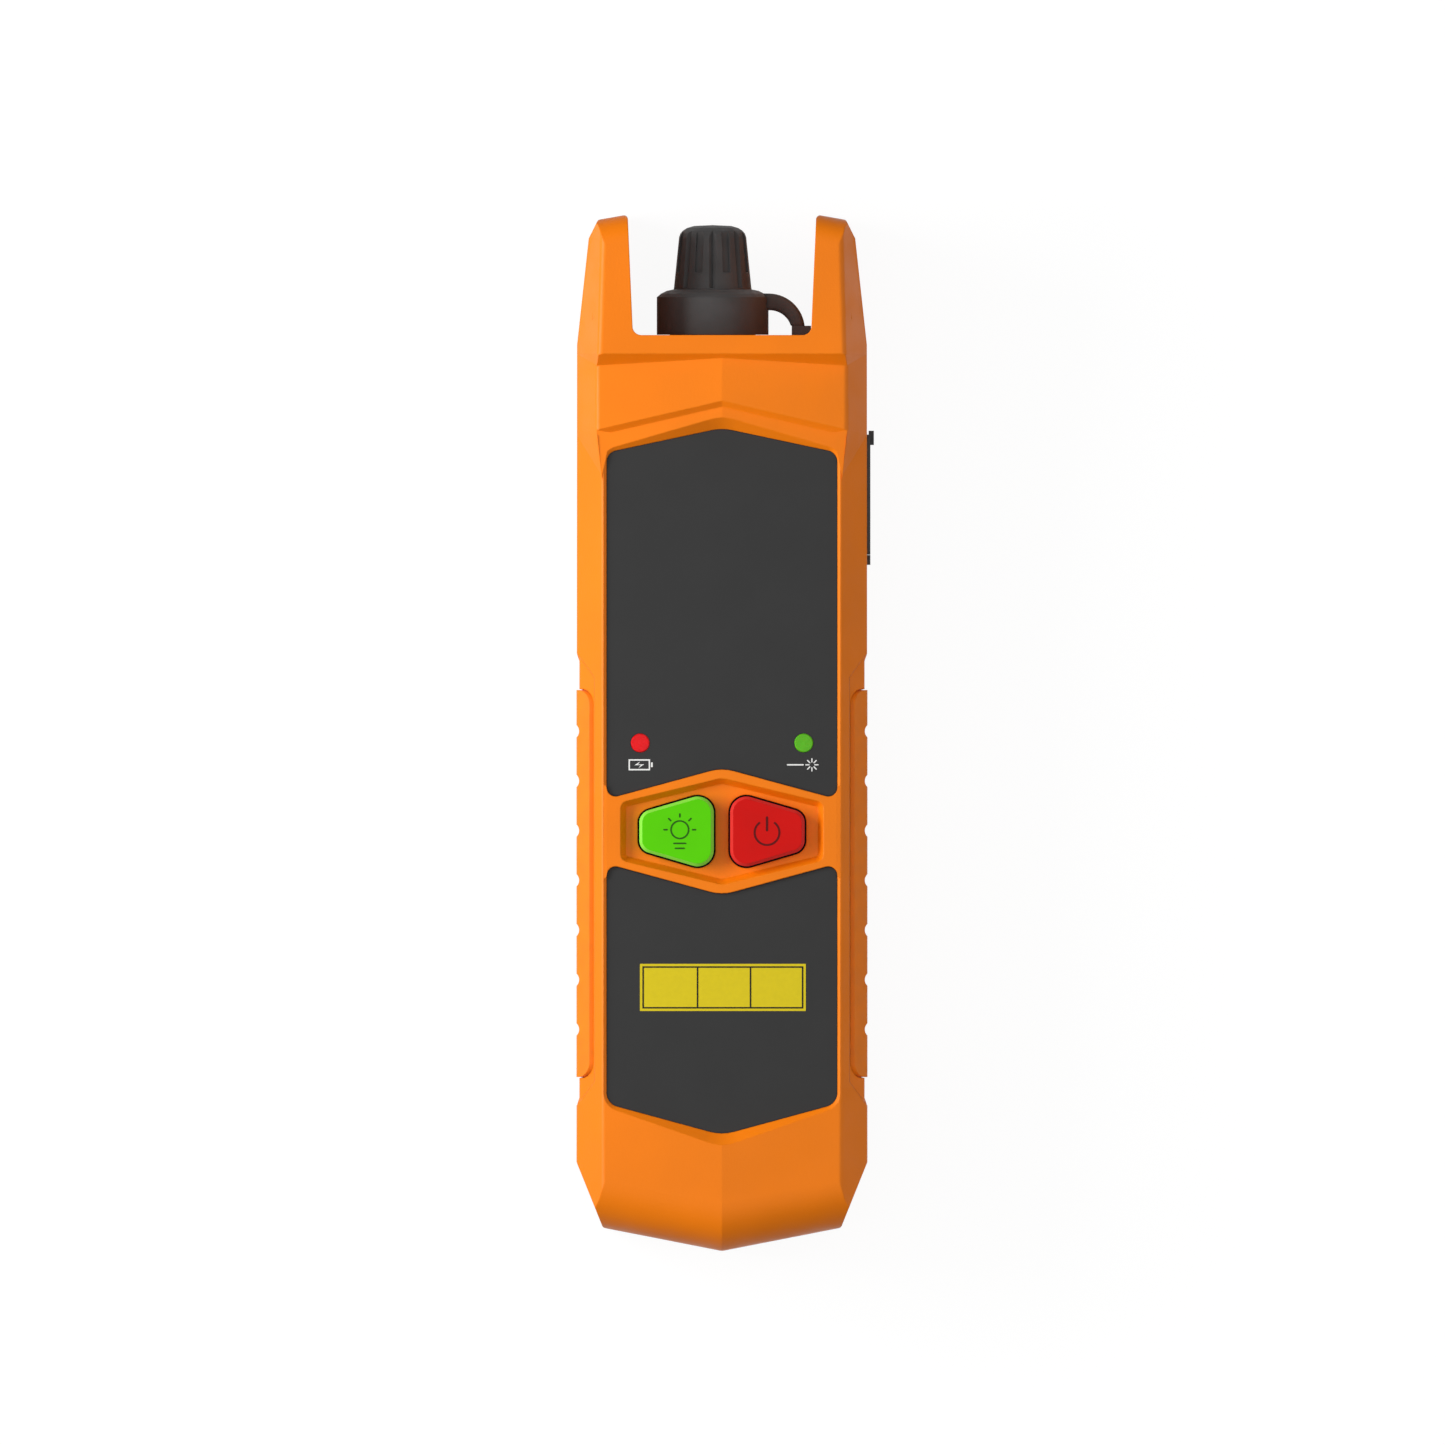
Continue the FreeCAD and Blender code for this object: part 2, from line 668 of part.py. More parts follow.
def lower_panel_corners():
    return panel_corners(LOWER_APEX_Y, LOWER_NOTCH_Y, PANEL_SLOPE, PANEL_SLOPE,
                         BOTTOM_ROUNDS, NOTCH_ROUNDS)


def indicator_hole():
    return rod(INDICATOR_RADIUS + FIT_GAP, indicator_axis(BOARD_TOP_Z),
               indicator_axis(THICKNESS))


def upper_panel():
    panel = plate(offset_corners(upper_panel_corners(), -FIT_GAP), (PANEL_FLOOR_Z, PANEL_TOP_Z))
    return panel.cut(both_sides(indicator_hole()))


def lower_panel():
    return plate(offset_corners(lower_panel_corners(), -FIT_GAP), (PANEL_FLOOR_Z, PANEL_TOP_Z))


# ---- Buttons and indicators ----
def pocket_corners():
    return mirrored_corners([
        (0, BUTTON_Y - POCKET_APEX_HALF, POCKET_APEX_ROUND),
        (POCKET_HALF_WIDTH, BUTTON_Y - POCKET_SIDE_HALF, POCKET_SIDE_ROUND),
        (POCKET_HALF_WIDTH, BUTTON_Y + POCKET_SIDE_HALF, POCKET_SIDE_ROUND),
        (0, BUTTON_Y + POCKET_APEX_HALF, POCKET_APEX_ROUND),
    ])


def button_corners(margin=0.0):
    """Outline of the right-hand button, which is wider towards the middle."""
    return offset_corners([
        (BUTTON_INNER_X, BUTTON_Y - BUTTON_INNER_HALF, BUTTON_INNER_RADIUS),
        (BUTTON_OUTER_X, BUTTON_Y - BUTTON_OUTER_HALF, BUTTON_OUTER_RADIUS),
        (BUTTON_OUTER_X, BUTTON_Y + BUTTON_OUTER_HALF, BUTTON_OUTER_RADIUS),
        (BUTTON_INNER_X, BUTTON_Y + BUTTON_INNER_HALF, BUTTON_INNER_RADIUS),
    ], margin)


def button_axis(z):
    return Vector(BUTTON_CENTRE_X, BUTTON_Y, z)


def button():
    """Cap of a button: bevelled top, retaining flange and the boss that presses."""
    body = plate(button_corners(), (FLANGE_Z, BUTTON_TOP_Z - BUTTON_EDGE))
    bevel_foot = outline(button_corners(), BUTTON_TOP_Z - BUTTON_EDGE)
    bevel_top = outline(button_corners(-BUTTON_EDGE), BUTTON_TOP_Z)
    bevel = Part.makeLoft([bevel_foot, bevel_top], True, True)
    flange = plate(button_corners(BUTTON_FLANGE), (FLANGE_Z, FLANGE_TOP_Z))
    boss = rod(BUTTON_BOSS_RADIUS, button_axis(SHEET_TOP_Z), button_axis(FLANGE_TOP_Z))
    return body.fuse([bevel, flange, boss]).removeSplitter()


def switch_body():
    """Tactile switch on the board, open at the top for its plunger."""
    top_z = BOARD_TOP_Z + SWITCH_HEIGHT
    half = SWITCH_SIDE / 2
    body = box((BUTTON_CENTRE_X - half, BUTTON_CENTRE_X + half),
               (BUTTON_Y - half, BUTTON_Y + half), (BOARD_TOP_Z, top_z))
    pieces = [body]
    for leg_y in (BUTTON_Y - half + SWITCH_LEG, BUTTON_Y + half - 2 * SWITCH_LEG):
        pieces.append(box((BUTTON_CENTRE_X - half - SWITCH_LEG, BUTTON_CENTRE_X + half + SWITCH_LEG),
                          (leg_y, leg_y + SWITCH_LEG), (BOARD_TOP_Z, BOARD_TOP_Z + SWITCH_LEG / 2)))
    well = rod(PLUNGER_RADIUS + 2 * FIT_GAP, button_axis(BOARD_TOP_Z + 2 * FIT_GAP),
               button_axis(top_z + 1))
    return pieces[0].fuse(pieces[1:]).cut(well)


def switch_plunger():
    return rod(PLUNGER_RADIUS, button_axis(SHEET_Z - PLUNGER_LENGTH), button_axis(SHEET_Z))


def keypad_sheet():
    """Silicone sheet that seals both buttons, clamped by its thick edge."""
    y_span = (BUTTON_Y - SHEET_HALF_LENGTH, BUTTON_Y + SHEET_HALF_LENGTH)
    inner_x = SHEET_HALF_WIDTH - SHEET_RIM
    frame = box((-SHEET_HALF_WIDTH, SHEET_HALF_WIDTH), y_span, (SHEET_Z, FRONT_CEILING_Z))
    room = box((-inner_x, inner_x), (y_span[0] + SHEET_RIM, y_span[1] - SHEET_RIM),
               (SHEET_TOP_Z, FRONT_CEILING_Z))
    return frame.cut(room)


def indicator_axis(z):
    return Vector(INDICATOR_X, INDICATOR_Y, z)


def light_pipe():
    """Clear pipe from a lamp on the board up to the panel's face."""
    flange_radius, flange_height = INDICATOR_FLANGE
    tip_z = PANEL_TOP_Z + INDICATOR_PROUD
    pipe = rod(INDICATOR_RADIUS, indicator_axis(BOARD_TOP_Z + 1), indicator_axis(tip_z))
    pipe = pipe.makeChamfer(INDICATOR_PROUD, rim_edges(pipe, Vector(0, 0, 1), tip_z))
    flange = rod(flange_radius, indicator_axis(FRONT_CEILING_Z - flange_height),
                 indicator_axis(FRONT_CEILING_Z))
    return pipe.fuse(flange).removeSplitter()


def indicator_lamp():
    width, length, height = LAMP_SIZE
    return box((INDICATOR_X - width / 2, INDICATOR_X + width / 2),
               (INDICATOR_Y - length / 2, INDICATOR_Y + length / 2),
               (BOARD_TOP_Z, BOARD_TOP_Z + height))


# ---- Fastenings ----
def case_screw_hole(x, y):
    """Waste for one case screw: head recess, clearance and pilot hole."""
    seat_z = CASE_SCREW_HEAD_Z[1]
    recess = rod(SCREW_RECESS_RADIUS, Vector(x, y, -1), Vector(x, y, seat_z))
    clearance = rod(CASE_SCREW_RADIUS + 3 * FIT_GAP, Vector(x, y, 0), Vector(x, y, PARTING_Z))
    pilot = rod(CASE_SCREW_RADIUS + SCREW_FIT, Vector(x, y, PARTING_Z),
                Vector(x, y, CASE_SCREW_END_Z + 0.5))
    return recess.fuse([clearance, pilot])


def case_screw(x, y):
    """Case screw with a flat head and a cross recess."""
    low_z, seat_z = CASE_SCREW_HEAD_Z
    length, width, depth = SCREW_CROSS
    head = rod(CASE_SCREW_HEAD_RADIUS, Vector(x, y, low_z), Vector(x, y, seat_z))
    shank = rod(CASE_SCREW_RADIUS, Vector(x, y, seat_z), Vector(x, y, CASE_SCREW_END_Z))
    slots = []
    for half_x, half_y in ((length / 2, width / 2), (width / 2, length / 2)):
        slots.append(box((x - half_x, x + half_x), (y - half_y, y + half_y),
                         (low_z - 0.1, low_z + depth)))
    return head.fuse(shank).cut(slots)


def board_screw(x, y):
    head_radius, head_height = BOARD_SCREW_HEAD
    head = rod(head_radius, Vector(x, y, BOARD_Z - head_height), Vector(x, y, BOARD_Z))
    shank = rod(BOARD_SCREW_RADIUS, Vector(x, y, BOARD_Z), Vector(x, y, FRONT_CEILING_Z - 0.4))
    return head.fuse(shank)


# ---- Optical port and laser ----
def port_axis(y):
    return Vector(PORT_X, y, PORT_Z)


def turned(profile):
    """A solid turned about the port's axis, its profile given as radius and Y."""
    face = polygon_face([Vector(PORT_X + radius, y, PORT_Z) for radius, y in profile])
    return face.revolve(port_axis(0), Vector(0, 1, 0), 360)


def port_barrel():
    """Metal barrel of the optical port, with its flange against the deck."""
    inner_y = LASER_Y[1] + 1.0
    flange_y = DECK_Y + PORT_FLANGE_THICKNESS
    seat_y = DECK_Y - SLEEVE_SINK
    bevel = PORT_BEVEL
    return turned([
        (BEAM_RADIUS, inner_y), (PORT_RADIUS, inner_y), (PORT_RADIUS, DECK_Y),
        (PORT_FLANGE_RADIUS, DECK_Y), (PORT_FLANGE_RADIUS, flange_y), (PORT_RADIUS, flange_y),
        (PORT_RADIUS, PORT_END_Y - bevel), (PORT_RADIUS - bevel, PORT_END_Y),
        (SLEEVE_RADIUS, PORT_END_Y), (SLEEVE_RADIUS, seat_y), (BEAM_RADIUS, seat_y),
    ])


def ferrule_sleeve():
    """Ceramic sleeve that a ferrule slides into."""
    return tube(SLEEVE_RADIUS, FERRULE_RADIUS, port_axis(DECK_Y - SLEEVE_SINK),
                port_axis(PORT_END_Y - 0.4))


def port_nut():
    """Hexagon nut that clamps the barrel from inside."""
    end_y = DECK_Y - WALL - WASHER_THICKNESS
    corners = []
    for index in range(6):
        angle = math.radians(60 * index)
        corners.append((PORT_X + NUT_RADIUS * math.cos(angle),
                        PORT_Z + NUT_RADIUS * math.sin(angle), 0))
    nut = section_bar(corners, (end_y - NUT_THICKNESS, end_y))
    return nut.cut(rod(PORT_RADIUS + SCREW_FIT, port_axis(DECK_Y - 20), port_axis(DECK_Y)))


def port_washer():
    end_y = DECK_Y - WALL
    return tube(PORT_HOLE_RADIUS + 1.6, PORT_RADIUS + FIT_GAP,
                port_axis(end_y - WASHER_THICKNESS), port_axis(end_y))


def port_seal():
    """Rubber ring between the barrel and the hole in the deck wall."""
    return tube(PORT_HOLE_RADIUS, PORT_RADIUS, port_axis(DECK_Y - WALL), port_axis(DECK_Y))


def port_hole():
    return rod(PORT_HOLE_RADIUS, port_axis(DECK_Y - 6), port_axis(DECK_Y + 2))


def laser_module():
    """Laser barrel: turned body with a narrower rear end and a lens hole."""
    start_y, end_y = LASER_Y
    rear_radius = LASER_RADIUS - 1
    lens_y = end_y - LENS_SINK
    return turned([
        (0, start_y), (rear_radius, start_y), (rear_radius, start_y + LASER_REAR),
        (LASER_RADIUS, start_y + LASER_REAR), (LASER_RADIUS, end_y), (LENS_RADIUS, end_y),
        (LENS_RADIUS, lens_y), (0, lens_y),
    ])


def laser_collar():
    """Turned collar that joins the laser barrel to the port barrel."""
    start_y = LASER_Y[1] - COLLAR_OVERLAP
    shoulder_y = LASER_Y[1] + 1.0
    end_y = shoulder_y + 2.0
    outer = LASER_RADIUS + COLLAR_WALL
    return turned([
        (LASER_RADIUS + SCREW_FIT, start_y), (outer, start_y), (outer, end_y),
        (PORT_RADIUS + SCREW_FIT, end_y), (PORT_RADIUS + SCREW_FIT, shoulder_y),
        (LASER_RADIUS + SCREW_FIT, shoulder_y),
    ])


# ---- Dust cap and its strap ----
def dust_cap():
    """Rubber cap: ring, tapered grip with flutes, and a bore for the barrel."""
    cap = turned([(0, CAP_BASE_Y), (CAP_RING_RADIUS, CAP_BASE_Y), (CAP_RING_RADIUS, CAP_RING_TOP_Y)]
                 + CAP_SHOULDER + [CAP_CONE_BASE, CAP_CONE_TOP] + CAP_CROWN + [(0, CAP_TOP_Y)])
    flange_room = PORT_FLANGE_RADIUS + CAP_BORE_GAP
    barrel_room = PORT_RADIUS + CAP_BORE_GAP
    step_y = DECK_Y + PORT_FLANGE_THICKNESS + CAP_END_GAP
    bore = turned([
        (0, CAP_BASE_Y - 1), (flange_room, CAP_BASE_Y - 1), (flange_room, step_y),
        (barrel_room, step_y), (barrel_room, PORT_END_Y + CAP_END_GAP),
        (0, PORT_END_Y + CAP_END_GAP),
    ])
    turn = 360.0 / CAP_GROOVES
    grooves = [about_port(cap_groove(), index * turn) for index in range(CAP_GROOVES)]
    slots = [about_port(cap_slot(), (index + 0.5) * turn) for index in range(CAP_GROOVES)]
    return cap.cut(grooves + slots + [bore])


def about_port(shape, angle):
    return shape.rotated(port_axis(0), Vector(0, 1, 0), angle)


def along_cone(section, start_y):
    """A bar that runs up the cap's cone, its section given as X and height above it."""
    base_radius, base_y = CAP_CONE_BASE
    top_radius, top_y = CAP_CONE_TOP
    slope = (top_radius - base_radius) / (top_y - base_y)
    foot = Vector(PORT_X, start_y, PORT_Z + base_radius + (start_y - base_y) * slope)
    face = polygon_face([foot + Vector(x, 0, height) for x, height in section])
    length = CAP_TOP_Y + 1 - start_y
    return face.extrude(Vector(0, length, length * slope))


def cap_groove():
    """Waste for one V-shaped flute down the whole tapered grip."""
    half = CAP_GROOVE_WIDTH
    return along_cone([(0, -CAP_GROOVE_DEPTH), (half, CAP_GROOVE_DEPTH),
                       (-half, CAP_GROOVE_DEPTH)], CAP_CONE_BASE[1] + 0.25)


def cap_slot():
    """Waste for one short flat-bottomed slot that runs out at the top."""
    half = CAP_SLOT_WIDTH / 2
    return along_cone([(-half, -CAP_SLOT_DEPTH), (half, -CAP_SLOT_DEPTH), (half, 3.0),
                       (-half, 3.0)], CAP_SLOT_Y)


def strap_z():
    return (PORT_Z - STRAP_HALF_DEPTH, PORT_Z + STRAP_HALF_DEPTH)


def strap_round(centre, radius):
    z0, z1 = strap_z()
    return rod(radius, Vector(*centre, z0), Vector(*centre, z1))


def cap_strap():
    """Bent rubber strap from the cap's ring down to its foot on the deck."""
    x, y = STRAP_OUTER_CENTRE
    outer = strap_round(STRAP_OUTER_CENTRE, STRAP_OUTER_RADIUS)
    inner = strap_round(STRAP_INNER_CENTRE, STRAP_INNER_RADIUS)
    quarter = outer.cut(inner).common(box((x, x + 20), (FOOT_TOP_Y, y + 20), strap_z()))
    lead = box((x - 2, x), (STRAP_INNER_CENTRE[1] + STRAP_INNER_RADIUS, y + STRAP_OUTER_RADIUS),
               strap_z())
    ring = rod(CAP_RING_RADIUS + STRAP_GAP, port_axis(CAP_BASE_Y), port_axis(CAP_TOP_Y))
    return quarter.fuse(lead).cut(ring).removeSplitter()


def foot_axis(y):
    return Vector(FOOT_PIN_X, y, PORT_Z)


def foot_anchor(clearance):
    """Neck and mushroom head of the foot, or with clearance the room for them."""
    neck = rod(FOOT_NECK_RADIUS + clearance, foot_axis(FOOT_NECK_END_Y), foot_axis(DECK_Y + 0.5))
    head = rod(FOOT_HEAD_RADIUS + clearance, foot_axis(FOOT_HEAD_END_Y - clearance),
               foot_axis(FOOT_NECK_END_Y + clearance))
    return neck.fuse(head)


def strap_foot():
    """Foot of the strap, whose mushroom head is trapped between the case halves."""
    foot = box(FOOT_X, (DECK_Y, FOOT_TOP_Y), strap_z())
    return foot.common(plate(deck_gap_corners(), (0, THICKNESS))).fuse(foot_anchor(0))


def deck_gap_corners():
    """The gap between the prongs, which the foot's outer end is shaped to."""
    inner_x, tip_y = PRONG_INNER_TIP
    return [(-inner_x, tip_y, 0), (-PRONG_ROOT_X, DECK_Y, PRONG_ROOT_RADIUS),
            (PRONG_ROOT_X, DECK_Y, PRONG_ROOT_RADIUS), (inner_x, tip_y, 0)]


# ---- Torch ----
def torch_axis(y):
    return Vector(TORCH_X, y, TORCH_Z)


def torch_hole():
    step = rod(TORCH_RADIUS + TORCH_SHOULDER + 0.1, torch_axis(DECK_Y - 6), torch_axis(TORCH_SEAT_Y))
    mouth = rod(TORCH_RADIUS, torch_axis(DECK_Y - 2), torch_axis(DECK_Y + 2))
    return step.fuse(mouth)


def torch_lens():
    """Clear lens with a bevelled face, held by a shoulder behind the deck wall."""
    bevel_y = DECK_Y - TORCH_LENS_BEVEL
    radius = TORCH_RADIUS - FIT_GAP
    barrel = rod(radius, torch_axis(TORCH_SEAT_Y), torch_axis(bevel_y))
    shoulder = rod(TORCH_RADIUS + TORCH_SHOULDER, torch_axis(TORCH_LENS_BACK_Y),
                   torch_axis(TORCH_SEAT_Y))
    face = Part.makeCone(radius, radius - TORCH_LENS_BEVEL, TORCH_LENS_BEVEL,
                         torch_axis(bevel_y), Vector(0, 1, 0))
    return barrel.fuse([shoulder, face])


def torch_reflector():
    """Cup behind the lens with a flared bowl."""
    front_y = TORCH_LENS_BACK_Y - FIT_GAP
    body = rod(TORCH_RADIUS + 0.3, torch_axis(front_y - REFLECTOR_LENGTH), torch_axis(front_y))
    bowl = Part.makeCone(0.9, 2.4, 3.0, torch_axis(front_y - 3.0), Vector(0, 1, 0))
    way = rod(0.9, torch_axis(front_y - REFLECTOR_LENGTH), torch_axis(front_y - 2.9))
    return body.cut([bowl, way])


def torch_lamp():
    """Lamp on its small base, pushed up to the reflector."""
    back_y = TORCH_LENS_BACK_Y - FIT_GAP - REFLECTOR_LENGTH
    half = 2.0
    base = box((TORCH_X - half, TORCH_X + half), (back_y - 1.0, back_y),
               (TORCH_Z - half, TORCH_Z + half))
    return base.fuse(rod(0.7, torch_axis(back_y - 0.2), torch_axis(back_y + 0.5)))


# ---- Charging port ----
def usb_slot(half_length, half_height, x0, x1):
    radius = half_height - FIT_GAP
    corners = [(USB_Y - half_length, USB_Z - half_height, radius),
               (USB_Y + half_length, USB_Z - half_height, radius),
               (USB_Y + half_length, USB_Z + half_height, radius),
               (USB_Y - half_length, USB_Z + half_height, radius)]
    return side_plate(corners, (x0, x1))


def usb_socket():
    """Charging socket: rounded metal shell with its contact tongue."""
    back_x = USB_MOUTH_X - USB_LENGTH
    outer = usb_slot(USB_HALF_LENGTH, USB_HALF_HEIGHT, back_x, USB_MOUTH_X)
    inner = usb_slot(USB_HALF_LENGTH - USB_WALL, USB_HALF_HEIGHT - USB_WALL, back_x + 1.0,
                     USB_MOUTH_X + 1)
    half_length, half_height = USB_TONGUE
    tongue = box((back_x + 0.5, USB_MOUTH_X - 1.0), (USB_Y - half_length, USB_Y + half_length),
                 (USB_Z - half_height, USB_Z + half_height))
    return outer.cut(inner).fuse(tongue)


def usb_hole():
    return usb_slot(USB_HALF_LENGTH + GRIP_GAP, USB_HALF_HEIGHT + GRIP_GAP,
                    USB_MOUTH_X - USB_LENGTH, HALF_WIDTH + 1)


def cover_plate(x_span, margin=0.0):
    """The flap's outline, with large corners at its hinge end."""
    (y0, y1), (z0, z1) = COVER_Y, COVER_Z
    hinge_round, free_round = COVER_ROUNDS
    corners = [(y0, z0, hinge_round), (y1, z0, free_round), (y1, z1, free_round),
               (y0, z1, hinge_round)]
    return side_plate(offset_corners(corners, margin), x_span)


def cover_recess():
    return cover_plate((COVER_X[0], HALF_WIDTH + 1), GRIP_GAP)


def port_cover():
    """Rubber flap over the charging socket, with a plug and a pull tab."""
    moving = box(COVER_SPAN_X, (COVER_SPLIT_Y + FIT_GAP, COVER_Y[1] + 1), (0, THICKNESS))
    tab = box((COVER_X[1] - 0.3, COVER_TAB_X), COVER_TAB_Y,
              (COVER_Z[0] + COVER_TAB_INSET, COVER_Z[1] - COVER_TAB_INSET))
    plug = usb_slot(USB_HALF_LENGTH - 0.55, USB_HALF_HEIGHT - 0.5, USB_MOUTH_X - 0.8,
                    COVER_X[0] + 0.2)
    return cover_plate(COVER_X).common(moving).fuse([tab, plug]).removeSplitter()


def port_cover_root():
    """Fixed end of the flap, with the stalk that holds it in the wall."""
    fixed = box(COVER_SPAN_X, (COVER_Y[0] - 1, COVER_SPLIT_Y), (0, THICKNESS))
    wall_x = HALF_WIDTH - WALL
    stalk = rod(STALK_RADIUS, cover_stalk(wall_x), cover_stalk(COVER_X[0] + 0.2))
    barb = Part.makeCone(STALK_RADIUS, BARB_RADIUS, 1.0, cover_stalk(wall_x - 1.0),
                         Vector(1, 0, 0))
    return cover_plate(COVER_X).common(fixed).fuse([stalk, barb])


def cover_stalk(x):
    return Vector(x, (COVER_Y[0] + COVER_SPLIT_Y) / 2, COVER_STALK_Z)


def cover_stalk_hole():
    """Waste for the stalk's hole and the room for its barb behind the ledge."""
    hole = rod(STALK_RADIUS, cover_stalk(HALF_WIDTH - 5), cover_stalk(HALF_WIDTH))
    barb_room = rod(BARB_RADIUS + 0.2, cover_stalk(HALF_WIDTH - 5), cover_stalk(HALF_WIDTH - WALL))
    return hole.fuse(barb_room)


# ---- Boards and battery ----
def main_board():
    """Board with a notch for the laser and a tongue for the charging socket."""
    z_span = (BOARD_Z, BOARD_TOP_Z)
    board = box((-BOARD_HALF_WIDTH, BOARD_HALF_WIDTH), BOARD_Y, z_span)
    tongue = box((BOARD_HALF_WIDTH - 1, BOARD_TONGUE_X), (USB_Y - 6, USB_Y + 6), z_span)
    clearance = LASER_RADIUS + 2.0
    notch = box((PORT_X - clearance, PORT_X + clearance), (LASER_Y[0] - 2, BOARD_Y[1] + 1), z_span)
    holes = [rod(BOARD_SCREW_RADIUS + FIT_GAP, Vector(x, y, BOARD_Z - 1), Vector(x, y, THICKNESS))
             for x, y in BOARD_SCREWS]
    return board.fuse(tongue).cut([notch] + holes)


def board_parts():
    """The taller parts on the underside of the board."""
    return Part.makeCompound([box(x_span, y_span, (BOARD_Z - height, BOARD_Z))
                              for x_span, y_span, height in BOARD_CHIPS])


def battery_cell():
    """Flat lithium cell with rounded long edges."""
    z0, z1 = BATTERY_Z
    section = mirrored_corners([(BATTERY_X, z0, BATTERY_ROUND), (BATTERY_X, z1, BATTERY_ROUND)])
    return section_bar(section, BATTERY_Y)


def battery_foam():
    return box((-BATTERY_X + 1, BATTERY_X - 1), (BATTERY_Y[0] + 2, BATTERY_Y[1] - 2),
               (WALL, BATTERY_Z[0]))


# ---- Shells ----
def half_case(form, z_span):
    """One half of the closed case, hollowed out."""
    half = form.common(box((-2 * HALF_WIDTH, 2 * HALF_WIDTH), BODY_Y, z_span))
    return half.cut([inner_room()] + prong_cores())


def front_shell(form):
    """Front half of the case, with the sunk window, pocket and bosses."""
    shell = half_case(form, (PARTING_Z, THICKNESS + 1))
    window_top = THICKNESS + 0.6
    window = funnel(window_corners(), (PANEL_TOP_Z, window_top), window_top - PANEL_TOP_Z)
    rim = box((-PANEL_HALF_WIDTH, PANEL_HALF_WIDTH), (LOWER_NOTCH_Y - 2, UPPER_NOTCH_Y + 2),
              (PANEL_FLOOR_Z, RIM_Z))
    ring = ledge((PARTING_Z, PARTING_Z + LEDGE_HEIGHT))
    shell = shell.cut(window).fuse([rim, ring] + front_bosses())
    waste = [
        plate(upper_panel_corners(), (PANEL_FLOOR_Z, RIM_Z + 1)),
        plate(lower_panel_corners(), (PANEL_FLOOR_Z, RIM_Z + 1)),
        funnel(offset_corners(pocket_corners(), -POCKET_BEVEL),
               (POCKET_FLOOR_Z, RIM_Z), POCKET_BEVEL),
    ]
    waste += both_sides(plate(button_corners(BUTTON_GAP), (BOARD_TOP_Z, RIM_Z)))
    waste += both_sides(indicator_hole())
    return finish_shell(shell, waste + [seam()])


def post(x, y, radius, z_span):
    """An eight-sided post for a screw."""
    corners = []
    for index in range(8):
        angle = math.radians(45 * index + 22.5)
        corners.append((x + radius * math.cos(angle), y + radius * math.sin(angle), 0))
    return plate(corners, z_span)


def front_bosses():
    """Posts for the case screws, and the stand-offs and rests of the board."""
    posts = [post(x, y, FRONT_POST_RADIUS, (PARTING_Z, FRONT_CEILING_Z + FIT_GAP))
             for x, y in CASE_SCREWS]
    board_span = (BOARD_TOP_Z, FRONT_CEILING_Z + FIT_GAP)
    stands = []
    for x, y in BOARD_SCREWS:
        pilot = rod(BOARD_SCREW_RADIUS + SCREW_FIT, Vector(x, y, BOARD_TOP_Z),
                    Vector(x, y, FRONT_CEILING_Z))
        stands.append(post(x, y, BOARD_STAND_RADIUS, board_span).cut(pilot))
    half = BOARD_REST_HALF
    rests = [box((x - half, x + half), (y - half, y + half), board_span)
             for x, y in BOARD_RESTS]
    return posts + stands + rests


def rear_shell(form):
    """Rear half of the case, with screw posts, battery ribs and the seal groove."""
    shell = half_case(form, (-1, PARTING_Z))
    ring = ledge((PARTING_Z - LEDGE_HEIGHT, PARTING_Z))
    posts = [post(x, y, REAR_POST_RADIUS, (WALL / 2, PARTING_Z)) for x, y in CASE_SCREWS]
    shell = shell.fuse([ring] + posts + battery_ribs())
    return finish_shell(shell, [seal_ring(), torch_hole()])


def battery_ribs():
    """Low ribs that keep the cell in place."""
    z_span = (WALL - 0.3, RIB_TOP_Z)
    (y0, y1), gap, width = BATTERY_Y, RIB_GAP, RIB_WIDTH
    side = box((BATTERY_X + gap, BATTERY_X + gap + width), (y0 + 8, y1 - 8), z_span)
    lower = box((-10, 10), (y0 - gap - width, y0 - gap), z_span)
    upper = box((-12, 12), (y1 + gap, y1 + gap + width), z_span)
    return both_sides(side) + [lower, upper]


def finish_shell(shell, waste):
    """Cut what both halves share: side grips, ports and screw holes."""
    waste = waste + both_sides(grip_channel()) + both_sides(grip_blank(GRIP_GAP))
    waste += [port_hole(), foot_anchor(FIT_GAP), cover_recess(), usb_hole(), cover_stalk_hole()]
    waste += [case_screw_hole(x, y) for x, y in CASE_SCREWS]
    return shell.cut(waste).removeSplitter()


